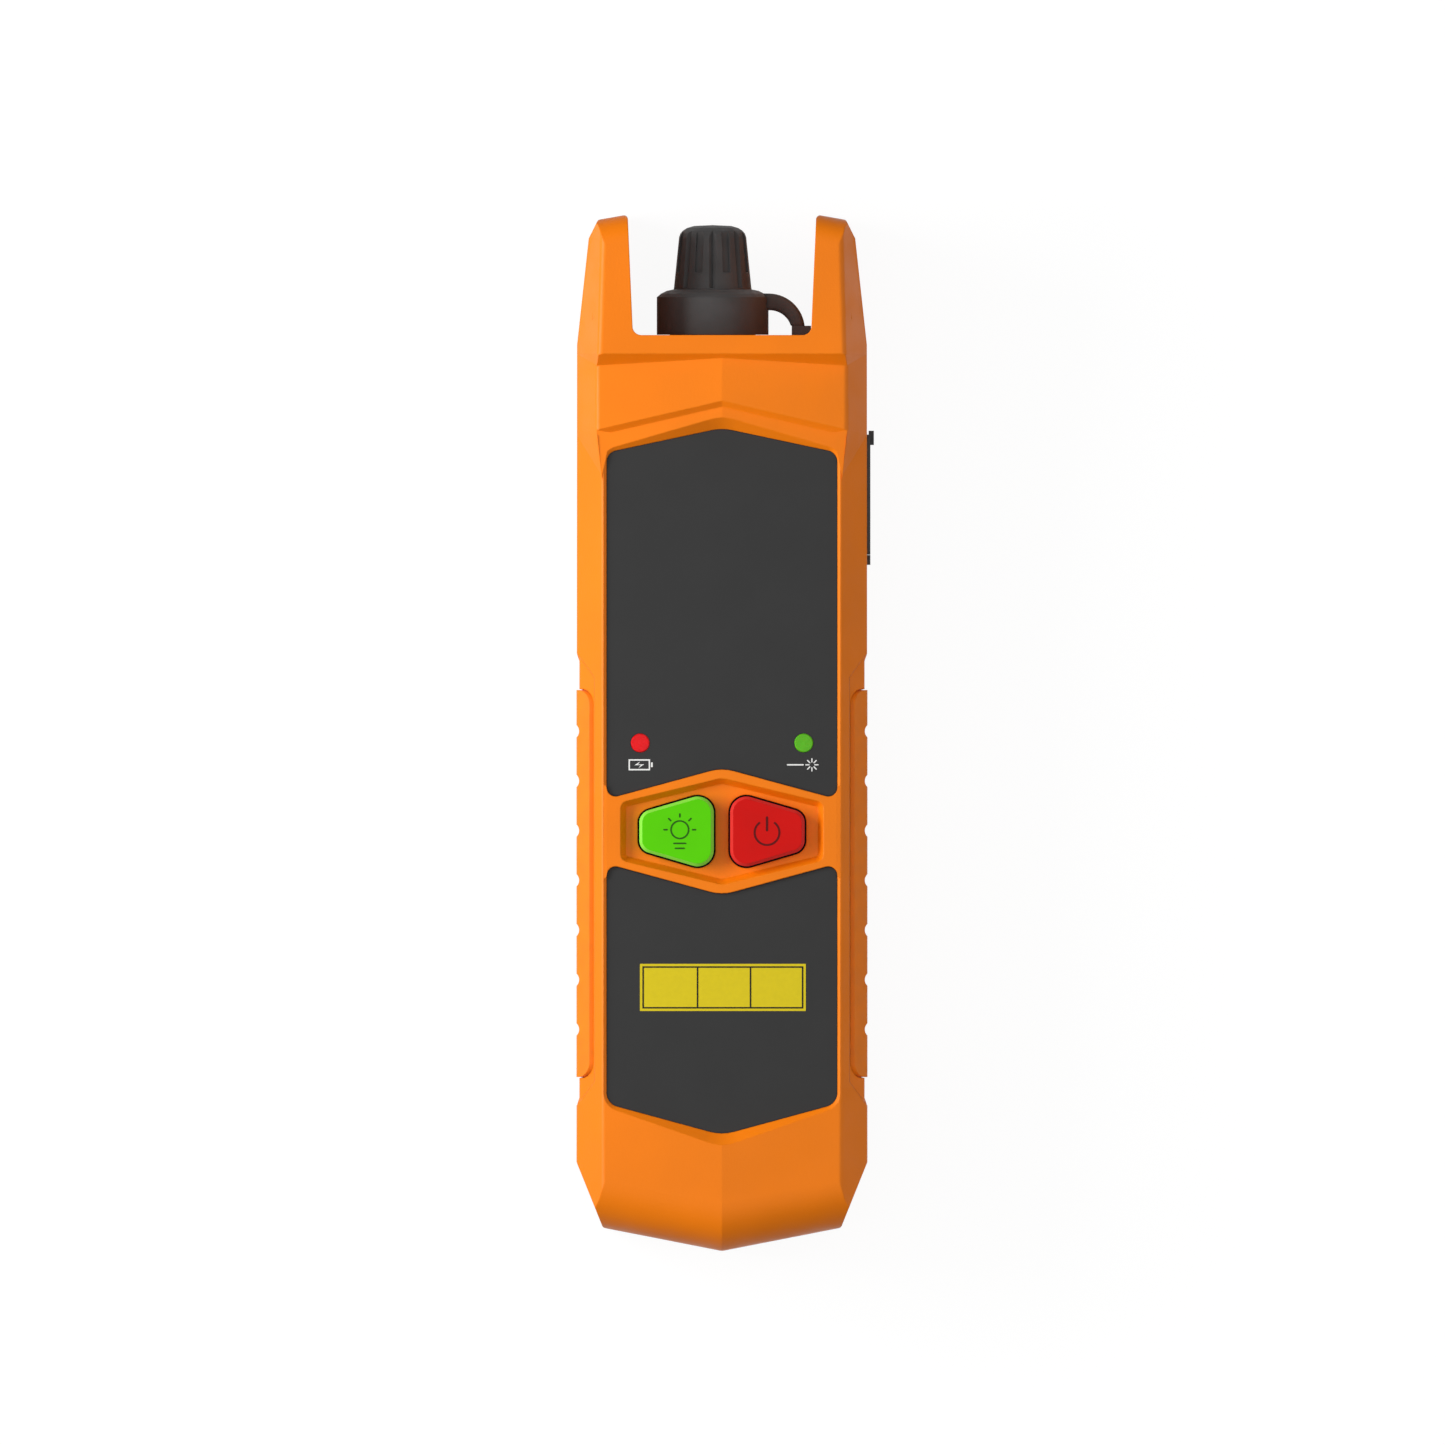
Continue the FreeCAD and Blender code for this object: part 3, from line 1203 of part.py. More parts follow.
def build():
    form = case_form()
    right_grip = grip_pad()
    power_button = button()
    power_switch = switch_body()
    power_plunger = switch_plunger()
    laser_indicator = light_pipe()
    return {
        "front_shell": front_shell(form),
        "rear_shell": rear_shell(form),
        "case_seal": seal_ring(),
        "upper_panel": upper_panel(),
        "lower_panel": lower_panel(),
        "right_grip_pad": right_grip,
        "left_grip_pad": mirror_x(right_grip),
        "power_button": power_button,
        "torch_button": mirror_x(power_button),
        "keypad_sheet": keypad_sheet(),
        "power_switch": power_switch,
        "torch_switch": mirror_x(power_switch),
        "power_switch_plunger": power_plunger,
        "torch_switch_plunger": mirror_x(power_plunger),
        "laser_indicator": laser_indicator,
        "charge_indicator": mirror_x(laser_indicator),
        "indicator_lamps": Part.makeCompound(both_sides(indicator_lamp())),
        "main_board": main_board(),
        "board_parts": board_parts(),
        "board_screws": Part.makeCompound([board_screw(x, y) for x, y in BOARD_SCREWS]),
        "case_screws": Part.makeCompound([case_screw(x, y) for x, y in CASE_SCREWS]),
        "battery_cell": battery_cell(),
        "battery_foam": battery_foam(),
        "laser_module": laser_module(),
        "laser_collar": laser_collar(),
        "port_barrel": port_barrel(),
        "ferrule_sleeve": ferrule_sleeve(),
        "port_nut": port_nut(),
        "port_washer": port_washer(),
        "port_seal": port_seal(),
        "dust_cap": dust_cap(),
        "cap_strap": cap_strap(),
        "strap_foot": strap_foot(),
        "torch_lens": torch_lens(),
        "torch_reflector": torch_reflector(),
        "torch_lamp": torch_lamp(),
        "usb_socket": usb_socket(),
        "port_cover": port_cover(),
        "port_cover_root": port_cover_root(),
    }


os.makedirs("parts", exist_ok=True)
for node, shape in build().items():
    shape.exportStep(f"parts/{node}.step")
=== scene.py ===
import math

import bmesh
import bpy
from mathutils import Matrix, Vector

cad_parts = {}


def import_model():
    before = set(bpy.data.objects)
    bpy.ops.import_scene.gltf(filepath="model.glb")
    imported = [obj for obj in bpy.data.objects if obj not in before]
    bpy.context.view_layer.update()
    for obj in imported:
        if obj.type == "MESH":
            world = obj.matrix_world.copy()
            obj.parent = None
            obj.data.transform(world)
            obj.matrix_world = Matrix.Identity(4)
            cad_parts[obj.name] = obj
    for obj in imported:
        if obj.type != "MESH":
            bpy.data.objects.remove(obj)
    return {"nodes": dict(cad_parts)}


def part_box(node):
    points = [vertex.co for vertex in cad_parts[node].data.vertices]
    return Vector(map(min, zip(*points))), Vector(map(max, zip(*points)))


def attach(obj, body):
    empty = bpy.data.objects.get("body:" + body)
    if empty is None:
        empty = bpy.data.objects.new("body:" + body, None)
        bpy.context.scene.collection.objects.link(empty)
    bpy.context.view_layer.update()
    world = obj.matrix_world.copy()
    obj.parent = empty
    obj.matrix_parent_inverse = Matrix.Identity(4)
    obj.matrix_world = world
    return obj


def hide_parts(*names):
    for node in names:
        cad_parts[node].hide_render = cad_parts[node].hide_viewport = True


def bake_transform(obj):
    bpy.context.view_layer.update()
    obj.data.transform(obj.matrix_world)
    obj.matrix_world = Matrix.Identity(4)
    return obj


# Pocket visual fault locator lying on its back on a pale floor, seen from straight above.
# Everything is in metres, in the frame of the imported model: +X right, +Y to the port, +Z up.
# Print and roof patches are given in millimetres, which MM turns into metres.

MM = 0.001

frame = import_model()
bpy.context.view_layer.update()
nodes = frame["nodes"]

# ---- View and light ----
VIEW_WIDTH = 248.3 * MM
VIEW_CENTRE = (0.09 * MM, 1.72 * MM)
CAMERA_DISTANCE = 2.0
KEY_DIRECTION = Vector((-0.847, 0.18, 0.5))
KEY_DISTANCE = 0.43
KEY_SIZE = (0.3, 0.15)
KEY_POWER = 1.6
SKY_STRENGTH = 1.02
SKY_FALL = 6.0
FLOOR_SIZE = 6.0
FLOOR_GREY = 0.15
FLOOR_PAPER = 0.1
FLOOR_GLOW = 0.93

# ---- Colours of the case and its print, as sRGB values from 0 to 255 ----
WHITE = (255, 255, 255)
ORANGE = (249, 129, 8)
PANEL_GREY = (46, 46, 46)
BUTTON_GREEN = (90, 212, 0)
BUTTON_RED = (212, 18, 14)
# Black below each button's face is painted shade in the gap round the button.
GAP_SHADE_BLACK = (12, 12, 12)
LAMP_RED = (226, 8, 18)
LAMP_GREEN = (90, 180, 24)
RUBBER_BLACK = (68, 67, 67)
INK_WHITE = (240, 240, 238)
INK_YELLOW = (222, 200, 26)
INK_BLACK = (28, 27, 20)
INK_GREEN = (36, 92, 0)
INK_RED = (92, 2, 4)

# ---- Colours of the port, the torch, the fasteners and the inner pieces ----
SILICONE_GREY = (150, 152, 154)
PLATED_BRASS = (205, 180, 120)
ALUMINIUM = (190, 192, 196)
SCREW_STEEL = (120, 120, 122)
SOCKET_STEEL = (185, 186, 188)
MIRROR_SILVER = (235, 235, 235)
LENS_CLEAR = (246, 248, 250)
CERAMIC_WHITE = (236, 233, 226)
BOARD_GREEN = (14, 74, 38)
TRACK_GREEN = (40, 122, 62)
COMPONENT_BLACK = (30, 30, 31)
FILM_SILVER = (176, 178, 182)
FOAM_BLACK = (34, 34, 35)

# ---- Shading ----
NOISE_RANGE = (0.3, 0.7)
BEVEL_LEAN = (0.1, 0.25)
BEVEL_SAMPLES = 4
# Share of white in the painted highlight on each button's bevel.
GREEN_BEVEL_HIGHLIGHT = 0.28
RED_BEVEL_HIGHLIGHT = 0.12
# Below this height a button is painted black, as painted shade in its gap.
SKIRT_TOP = 25.2 * MM
SKIRT_BLEND = 0.1 * MM
TRACK_CELL_MM = 2.2
TRACK_EDGE = (0.04, 0.09)
TOOL_RING_SCALE = 900.0


# ---- Colour and node helpers ----
def linear(rgb):
    """An sRGB colour from 0 to 255 as the linear colour that shaders use."""
    channels = []
    for value in rgb:
        share = value / 255
        channels.append(share / 12.92 if share <= 0.04045 else ((share + 0.055) / 1.055) ** 2.4)
    return (*channels, 1.0)


def shaded(rgb, factor):
    """A colour made lighter or darker by a factor."""
    return tuple(min(255, channel * factor) for channel in rgb)


def mixed(first, second, share):
    """The first colour with a share of the second."""
    return tuple(a + (b - a) * share for a, b in zip(first, second))


def feed(tree, socket, value):
    """Set a socket to a plain value, or link an output to it."""
    if isinstance(value, bpy.types.NodeSocket):
        tree.links.new(value, socket)
    else:
        socket.default_value = value


def calculated(tree, operation, *values):
    """Output of a math node that is fed with plain values or outputs."""
    made = tree.nodes.new("ShaderNodeMath")
    made.operation = operation
    for socket, value in zip(made.inputs, values):
        feed(tree, socket, value)
    return made.outputs[0]


class Finish:
    """A material under construction: one Principled shader and what feeds it."""

    def __init__(self, name, **shader_values):
        self.material = bpy.data.materials.new(name)
        self.material.use_nodes = True
        self.tree = self.material.node_tree
        self.shader = self.tree.nodes["Principled BSDF"]
        for socket, value in shader_values.items():
            self.set(socket.replace("_", " "), value)
        self.place = self.node("ShaderNodeTexCoord").outputs["Object"]

    def set(self, socket, value):
        """Feed one of the shader's own sockets."""
        feed(self.tree, self.shader.inputs[socket], value)

    def node(self, kind, **inputs):
        """A new node whose sockets are fed by name."""
        made = self.tree.nodes.new(kind)
        for socket, value in inputs.items():
            feed(self.tree, made.inputs[socket.replace("_", " ")], value)
        return made

    def noise(self, size_mm, detail=2.0):
        """Noise whose blotches are about this many millimetres across."""
        made = self.node("ShaderNodeTexNoise", Vector=self.place, Scale=1 / (size_mm * MM),
                         Detail=detail)
        return made.outputs["Fac"]

    def cells(self, size_mm, feature="F1"):
        """Distances in a pattern of cells of this size; F1 gives rounded grains."""
        made = self.node("ShaderNodeTexVoronoi", Vector=self.place, Scale=1 / (size_mm * MM))
        made.feature = feature
        return made.outputs["Distance"]

    def spread(self, value, low, high, source=NOISE_RANGE):
        """Map a value from its source range onto the range from low to high."""
        made = self.node("ShaderNodeMapRange", Value=value, From_Min=source[0],
                         From_Max=source[1], To_Min=low, To_Max=high)
        return made.outputs["Result"]

    def blend_colours(self, factor, first, second):
        """The first colour where the factor is zero, and the second where it is one."""
        made = self.node("ShaderNodeMix")
        made.data_type = "RGBA"
        colour_inputs = [socket for socket in made.inputs if socket.type == "RGBA"]
        feed(self.tree, made.inputs["Factor"], factor)
        feed(self.tree, colour_inputs[0], first)
        feed(self.tree, colour_inputs[1], second)
        return next(socket for socket in made.outputs if socket.type == "RGBA")

    def mottled(self, rgb, depth, size_mm):
        """A colour that drifts a little lighter and darker over the surface."""
        factor = self.spread(self.noise(size_mm), 0.0, 1.0)
        low = linear(shaded(rgb, 1 - depth))
        high = linear(shaded(rgb, 1 + depth))
        return self.blend_colours(factor, low, high)

    def mottle(self, rgb, depth, size_mm):
        """Give the whole surface such a drifting colour."""
        self.set("Base Color", self.mottled(rgb, depth, size_mm))

    def highlight_on_bevel(self):
        """Mask of the painted highlight: one where the surface leans half way between facing up
        and facing sideways.
        """
        normal = self.node("ShaderNodeTexCoord").outputs["Normal"]
        upwards = self.node("ShaderNodeSeparateXYZ", Vector=normal).outputs["Z"]
        off_bevel = calculated(self.tree, "SUBTRACT", upwards, math.sqrt(0.5))
        distance = calculated(self.tree, "ABSOLUTE", off_bevel)
        return self.spread(distance, 1.0, 0.0, source=BEVEL_LEAN)

    def gloss(self, low, high, size_mm):
        """Roughness that drifts between two values."""
        self.set("Roughness", self.spread(self.noise(size_mm), low, high))

    def relief(self, height, depth_mm, edge_mm=0.0):
        """Bump from a height field, on edges that are softened when edge_mm is given."""
        bump = self.node("ShaderNodeBump", Height=height, Strength=1.0, Distance=depth_mm * MM)
        if edge_mm:
            edge = self.node("ShaderNodeBevel", Radius=edge_mm * MM)
            edge.samples = BEVEL_SAMPLES
            feed(self.tree, bump.inputs["Normal"], edge.outputs["Normal"])
        self.set("Normal", bump.outputs["Normal"])


# ---- Materials ----
def moulded_plastic(name, rgb, roughness=(0.36, 0.46), grain_mm=0.35, depth_mm=0.012,
                    edge_mm=0.3):
    """Moulded plastic with a fine eroded texture and barely uneven colour."""
    finish = Finish(name, Specular_IOR_Level=0.2)
    finish.mottle(rgb, depth=0.015, size_mm=14.0)
    finish.gloss(*roughness, size_mm=5.0)
    finish.relief(finish.cells(grain_mm), depth_mm, edge_mm)
    return finish.material


def soft_rubber(name, rgb, roughness=(0.55, 0.7), depth_mm=0.02, unevenness=0.06):
    """Matt rubber: dull sheen, faint dust and a dry, uneven skin."""
    finish = Finish(name, Specular_IOR_Level=0.25, Sheen_Weight=0.06, Sheen_Roughness=0.5)
    finish.mottle(rgb, unevenness, size_mm=3.0)
    finish.gloss(*roughness, size_mm=1.5)
    finish.relief(finish.noise(0.25, detail=4.0), depth_mm, edge_mm=0.2)
    return finish.material


def printed_film(name, rgb):
    """Hard-coated matt film of the front panels, with a very fine grain."""
    finish = Finish(name, Specular_IOR_Level=0.25)
    finish.mottle(rgb, depth=0.02, size_mm=9.0)
    finish.gloss(0.53, 0.57, size_mm=2.0)
    finish.relief(finish.noise(0.18, detail=3.0), depth_mm=0.003, edge_mm=0.15)
    return finish.material


def button_plastic(name, rgb, highlight_share, node):
    """Satin button cap with a painted highlight on its bevel, and painted shade, black, below
    the case's face.
    """
    finish = Finish(name, Specular_IOR_Level=0.1)
    body = finish.mottled(rgb, depth=0.015, size_mm=6.0)
    # The paler bevel is a painted highlight.
    painted_highlight = linear(mixed(rgb, WHITE, highlight_share))
    face = finish.blend_colours(finish.highlight_on_bevel(), body, painted_highlight)
    # Black below the case's face is painted shade in the gap round the cap.
    skirt_top = nodes[node].matrix_world.inverted() @ Vector((0, 0, SKIRT_TOP))
    height = finish.node("ShaderNodeSeparateXYZ", Vector=finish.place).outputs["Z"]
    above = finish.spread(height, 0.0, 1.0, source=(skirt_top.z - SKIRT_BLEND, skirt_top.z))
    finish.set("Base Color", finish.blend_colours(above, linear(GAP_SHADE_BLACK), face))
    finish.gloss(0.3, 0.38, size_mm=3.0)
    finish.relief(finish.noise(0.3, detail=3.0), depth_mm=0.006, edge_mm=0.15)
    return finish.material


def ink(name, rgb):
    """Screen-printed ink with a slightly grainy film."""
    finish = Finish(name, Specular_IOR_Level=0.2)
    finish.mottle(rgb, depth=0.01, size_mm=0.8)
    finish.gloss(0.45, 0.6, size_mm=0.6)
    finish.relief(finish.noise(0.12, detail=3.0), depth_mm=0.004)
    return finish.material


def light_guide(name, rgb):
    """Tinted clear pipe with a faint glow of its own colour."""
    finish = Finish(name, Specular_IOR_Level=0.25, Subsurface_Weight=0.2,
                    Subsurface_Scale=1.0 * MM, Emission_Color=linear(rgb),
                    Emission_Strength=0.04)
    finish.mottle(rgb, depth=0.03, size_mm=1.2)
    finish.gloss(0.22, 0.32, size_mm=1.0)
    finish.relief(finish.noise(0.5), depth_mm=0.004)
    return finish.material


def metal(name, rgb, roughness, depth_mm=0.004):
    """Bare or plated metal with fine uneven machining."""
    finish = Finish(name, Metallic=1.0)
    finish.mottle(rgb, depth=0.05, size_mm=1.5)
    finish.gloss(roughness * 0.8, roughness * 1.25, size_mm=0.8)
    finish.relief(finish.noise(0.3, detail=4.0), depth_mm)
    return finish.material


def turned_metal(name, rgb, roughness):
    """Metal turned on a lathe along Y, with tool rings about 0.35 mm apart."""
    finish = Finish(name, Metallic=1.0)
    finish.mottle(rgb, depth=0.04, size_mm=2.0)
    finish.gloss(roughness * 0.8, roughness * 1.3, size_mm=1.0)
    rings = finish.node("ShaderNodeTexWave", Vector=finish.place, Scale=TOOL_RING_SCALE,
                        Distortion=1.0)
    rings.bands_direction = "Y"
    finish.relief(rings.outputs["Fac"], depth_mm=0.006)
    return finish.material


def clear_plastic(name):
    """Clear moulded lens with a trace of haze."""
    finish = Finish(name, Transmission_Weight=1.0, IOR=1.49)
    finish.mottle(LENS_CLEAR, depth=0.01, size_mm=2.0)
    finish.gloss(0.02, 0.08, size_mm=1.2)
    finish.relief(finish.noise(0.8), depth_mm=0.002)
    return finish.material


def ceramic(name):
    """Dense white ceramic of the sleeve that holds the ferrule."""
    finish = Finish(name, Specular_IOR_Level=0.6)
    finish.mottle(CERAMIC_WHITE, depth=0.02, size_mm=1.0)
    finish.gloss(0.15, 0.25, size_mm=0.8)
    finish.relief(finish.noise(0.2), depth_mm=0.002)
    return finish.material


def circuit_board(name):
    """Solder mask with copper tracks showing through as lighter lines."""
    finish = Finish(name, Specular_IOR_Level=0.5)
    edges = finish.cells(TRACK_CELL_MM, feature="DISTANCE_TO_EDGE")
    tracks = finish.spread(edges, 1.0, 0.0, source=TRACK_EDGE)
    colour = finish.blend_colours(tracks, linear(BOARD_GREEN), linear(TRACK_GREEN))
    finish.set("Base Color", colour)
    finish.gloss(0.25, 0.4, size_mm=2.0)
    finish.relief(tracks, depth_mm=0.02)
    return finish.material


def battery_film(name):
    """Crinkled aluminium laminate of a pouch cell."""
    finish = Finish(name, Metallic=0.6)
    finish.mottle(FILM_SILVER, depth=0.05, size_mm=4.0)
    finish.gloss(0.3, 0.45, size_mm=3.0)
    finish.relief(finish.noise(3.0, detail=5.0), depth_mm=0.12)
    return finish.material


def foam(name):
    """Open black foam with visible pores."""
    finish = Finish(name, Specular_IOR_Level=0.1)
    finish.mottle(FOAM_BLACK, depth=0.3, size_mm=0.6)
    finish.gloss(0.85, 0.95, size_mm=1.0)
    finish.relief(finish.cells(0.5), depth_mm=0.15)
    return finish.material


def give(material, *names):
    """Make this the only material of the named nodes."""
    for name in names:
        nodes[name].data.materials.clear()
        nodes[name].data.materials.append(material)


def dress_outside():
    """Finish the case, its panels, controls and rubber, and return the rubber of the cap."""
    give(moulded_plastic("orange_case", ORANGE), "front_shell", "rear_shell")
    give(soft_rubber("orange_grip", ORANGE, roughness=(0.45, 0.55), depth_mm=0.012,
                     unevenness=0.02), "left_grip_pad", "right_grip_pad")
    give(printed_film("panel_film", PANEL_GREY), "upper_panel", "lower_panel")
    give(button_plastic("green_cap", BUTTON_GREEN, GREEN_BEVEL_HIGHLIGHT, "torch_button"), "torch_button")
    give(button_plastic("red_cap", BUTTON_RED, RED_BEVEL_HIGHLIGHT, "power_button"), "power_button")
    give(light_guide("red_guide", LAMP_RED), "charge_indicator")
    give(light_guide("green_guide", LAMP_GREEN), "laser_indicator")
    rubber = soft_rubber("cap_rubber", RUBBER_BLACK)
    give(rubber, "dust_cap", "strap_foot", "cap_strap", "port_cover", "port_cover_root",
         "port_seal")
    return rubber


def dress_inside():
    """Finish the port, the torch, the fasteners and what lies in the case."""
    give(soft_rubber("silicone", SILICONE_GREY, roughness=(0.4, 0.5), depth_mm=0.01),
         "keypad_sheet", "case_seal")
    give(turned_metal("plated_barrel", PLATED_BRASS, roughness=0.2), "port_barrel", "port_nut")
    give(turned_metal("turned_aluminium", ALUMINIUM, roughness=0.28), "laser_module",
         "laser_collar")
    give(metal("screw_steel", SCREW_STEEL, roughness=0.3), "case_screws", "board_screws",
         "port_washer")
    give(metal("socket_steel", SOCKET_STEEL, roughness=0.25), "usb_socket")
    give(metal("reflector", MIRROR_SILVER, roughness=0.08, depth_mm=0.001), "torch_reflector")
    give(clear_plastic("clear_lens"), "torch_lens")
    give(ceramic("ceramic_white"), "ferrule_sleeve")
    give(circuit_board("board_green"), "main_board")
    give(moulded_plastic("component_black", COMPONENT_BLACK, roughness=(0.4, 0.5),
                         grain_mm=0.2, depth_mm=0.004, edge_mm=0.1),
         "board_parts", "indicator_lamps", "power_switch", "torch_switch",
         "power_switch_plunger", "torch_switch_plunger", "torch_lamp")
    give(battery_film("battery_wrap"), "battery_cell")
    give(foam("foam_black"), "battery_foam")


# ---- Mesh and place helpers ----
def linked(name, data):
    """A new object of the scene that holds this data."""
    made = bpy.data.objects.new(name, data)
    bpy.context.scene.collection.objects.link(made)
    return made


def made_object(name, mesh, material, smooth=False):
    """Turn a finished bmesh into an object of the scene."""
    bmesh.ops.recalc_face_normals(mesh, faces=mesh.faces)
    for face in mesh.faces:
        face.smooth = smooth
    data = bpy.data.meshes.new(name)
    mesh.to_mesh(data)
    mesh.free()
    data.materials.append(material)
    return linked(name, data)


def join_rings(mesh, lower, upper):
    """Quads between two closed rings that have as many vertices each."""
    for index in range(len(lower)):
        before = index - 1
        mesh.faces.new((lower[before], lower[index], upper[index], upper[before]))


def top_of(node):
    """Height of a node's highest point, in metres."""
    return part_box(node)[1].z


def centre_of(node):
    """Middle of a node's box as seen from above, in millimetres."""
    low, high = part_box(node)
    return (low + high).xy / 2 / MM


# ---- Print, in millimetres ----
INK_THICKNESS = 0.03
BAR_END_STEPS = 6
ARC_STEP_DEG = 8
ARC_LEAST_STEPS = 8
MERGE_DISTANCE = 1e-7


class Print:
    """Flat ink shapes of one colour, gathered into one thin mesh on a face."""

    def __init__(self, level):
        self.mesh = bmesh.new()
        self.level = level

    def shape(self, points):
        """One closed outline, given counter-clockwise, as a thin film."""
        top = [self.mesh.verts.new((x * MM, y * MM, self.level + INK_THICKNESS * MM))
               for x, y in points]
        base = [self.mesh.verts.new((x * MM, y * MM, self.level)) for x, y in points]
        self.mesh.faces.new(top)
        self.mesh.faces.new(base[::-1])
        join_rings(self.mesh, base, top)

    def bar(self, start, end, width):
        """A line with round ends."""
        heading = math.atan2(end[1] - start[1], end[0] - start[0])
        points = []
        for (x, y), turn in ((end, -math.pi / 2), (start, math.pi / 2)):
            for step in range(BAR_END_STEPS + 1):
                angle = heading + turn + math.pi * step / BAR_END_STEPS
                points.append((x + width / 2 * math.cos(angle), y + width / 2 * math.sin(angle)))
        self.shape(points)

    def rays(self, centre, reach, width, angles_deg):
        """Lines that point away from a centre, between an inner and an outer reach."""
        for angle in map(math.radians, angles_deg):
            heading = Vector((math.cos(angle), math.sin(angle)))
            self.bar(centre + heading * reach[0], centre + heading * reach[1], width)

    def block(self, x_span, y_span):
        """A filled rectangle."""
        (x0, x1), (y0, y1) = x_span, y_span
        self.shape([(x0, y0), (x1, y0), (x1, y1), (x0, y1)])

    def frame(self, x_span, y_span, line):
        """A rectangular line frame."""
        (x0, x1), (y0, y1) = x_span, y_span
        self.block((x0, x1), (y0, y0 + line))
        self.block((x0, x1), (y1 - line, y1))
        self.block((x0, x0 + line), (y0 + line, y1 - line))
        self.block((x1 - line, x1), (y0 + line, y1 - line))

    def arc(self, centre, radius, line, first_deg, last_deg):
        """Part of a ring; radius is the outer one."""
        turn = last_deg - first_deg
        steps = max(ARC_LEAST_STEPS, round(abs(turn) / ARC_STEP_DEG))
        angles = [math.radians(first_deg + turn * step / steps) for step in range(steps + 1)]
        for start, end in zip(angles, angles[1:]):
            corners = [(radius - line, start), (radius, start), (radius, end),
                       (radius - line, end)]
            self.shape([(centre[0] + r * math.cos(a), centre[1] + r * math.sin(a))
                        for r, a in corners])

    def finish(self, name, material, body, slot):
        """Make the piece, which rides on a body."""
        bmesh.ops.remove_doubles(self.mesh, verts=self.mesh.verts, dist=MERGE_DISTANCE)
        piece = made_object(name, self.mesh, material)
        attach(piece, body)


# Offsets are from the middle of the node that carries the sign.
TORCH_OFFSET = Vector((0.55, 0.3))
TORCH_LINE = 0.28
TORCH_RADIUS = 1.65
TORCH_RAYS = (2.2, 2.7)
TORCH_RAY_ANGLES = range(0, 181, 45)
TORCH_FEET = ((1.0, -2.35), (0.75, -3.2))


def torch_symbol():
    """Lamp with rays over two short lines."""
    centre = centre_of("torch_button") + TORCH_OFFSET
    drawing = Print(top_of("torch_button"))
    drawing.arc(centre, TORCH_RADIUS, TORCH_LINE, 0, 360)
    drawing.rays(centre, TORCH_RAYS, TORCH_LINE, TORCH_RAY_ANGLES)
    for half_length, y in TORCH_FEET:
        drawing.bar(centre + Vector((-half_length, y)), centre + Vector((half_length, y)),
                    TORCH_LINE)
    drawing.finish("torch_symbol", ink("ink_green", INK_GREEN), "torch_button", "button_green")


POWER_OFFSET = Vector((-0.07, -0.2))
POWER_RADIUS = 2.3
POWER_LINE = 0.34
POWER_GAP_DEG = 35
POWER_BAR = (0.4, 2.6)
POWER_BAR_WIDTH = 0.4


def power_symbol():
    """Open ring with a bar in its gap."""
    centre = centre_of("power_button") + POWER_OFFSET
    drawing = Print(top_of("power_button"))
    drawing.arc(centre, POWER_RADIUS, POWER_LINE, 90 + POWER_GAP_DEG, 450 - POWER_GAP_DEG)
    drawing.rays(centre, POWER_BAR, POWER_BAR_WIDTH, (90,))
    drawing.finish("power_symbol", ink("ink_red", INK_RED), "power_button", "button_red")


YELLOW_OFFSET = Vector((0.15, 2.149))
YELLOW_HALF_SIZE = (14.25, 4.05)
YELLOW_INSET = 0.42
YELLOW_LINE = 0.26
YELLOW_DIVIDERS = (-4.35, 4.75)


def span(middle, half):
    """The two ends of a length about its middle."""
    return (middle - half, middle + half)


def yellow_field():
    """Plain yellow field with a thin frame and two dividing lines."""
    centre = centre_of("lower_panel") + YELLOW_OFFSET
    half_width, half_height = YELLOW_HALF_SIZE
    level = top_of("lower_panel")
    field = Print(level)
    field.block(span(centre.x, half_width), span(centre.y, half_height))
    field.finish("yellow_field", ink("ink_yellow", INK_YELLOW), "case", "panel_grey")
    lines = Print(level + INK_THICKNESS * MM)
    lines.frame(span(centre.x, half_width - YELLOW_INSET),
                span(centre.y, half_height - YELLOW_INSET), YELLOW_LINE)
    for x in YELLOW_DIVIDERS:
        lines.block(span(centre.x + x, YELLOW_LINE / 2),
                    span(centre.y, half_height - YELLOW_INSET - YELLOW_LINE))
    lines.finish("yellow_field_lines", ink("ink_black", INK_BLACK), "case", "panel_grey")


# Places of the two lamp signs are from a point this far below the middle of their lamp.
SIGN_DROP = Vector((0, -3.75))
SIGN_LINE = 0.24
BATTERY_X = (-2.0, 1.7)
BATTERY_HALF_HEIGHT = 0.95
BATTERY_TIP_X = (1.85, 2.15)
BATTERY_TIP_HALF_HEIGHT = 0.4
BOLT = ((-1.0, -0.08), (0.12, -0.02), (-0.3, -0.55), (0.7, 0.1), (-0.42, 0.04), (0.0, 0.57))
BEAM_X = (-2.8, -0.1)
BURST_X = 1.4
BURST_RAYS = (0.5, 1.05)
BURST_LINE = 0.2
BURST_ANGLES = range(0, 360, 45)


def battery_sign(drawing, place):
    """Lying battery with a bolt in it."""
    frame_x, tip_x = [tuple(place.x + x for x in ends) for ends in (BATTERY_X, BATTERY_TIP_X)]
    drawing.frame(frame_x, span(place.y, BATTERY_HALF_HEIGHT), SIGN_LINE)
    drawing.block(tip_x, span(place.y, BATTERY_TIP_HALF_HEIGHT))
    drawing.shape([place + Vector(point) for point in BOLT])


def beam_sign(drawing, place):
    """Level line that ends in a burst of eight rays."""
    start, end = [place + Vector((x, 0)) for x in BEAM_X]
    drawing.bar(start, end, SIGN_LINE)
    drawing.rays(place + Vector((BURST_X, 0)), BURST_RAYS, BURST_LINE, BURST_ANGLES)


def lamp_symbols():
    """Battery sign under the charging lamp and a beam with a burst under the other."""
    drawing = Print(top_of("upper_panel"))
    battery_sign(drawing, centre_of("charge_indicator") + SIGN_DROP)
    beam_sign(drawing, centre_of("laser_indicator") + SIGN_DROP)
    drawing.finish("lamp_symbols", ink("ink_white", INK_WHITE), "case", "panel_grey")


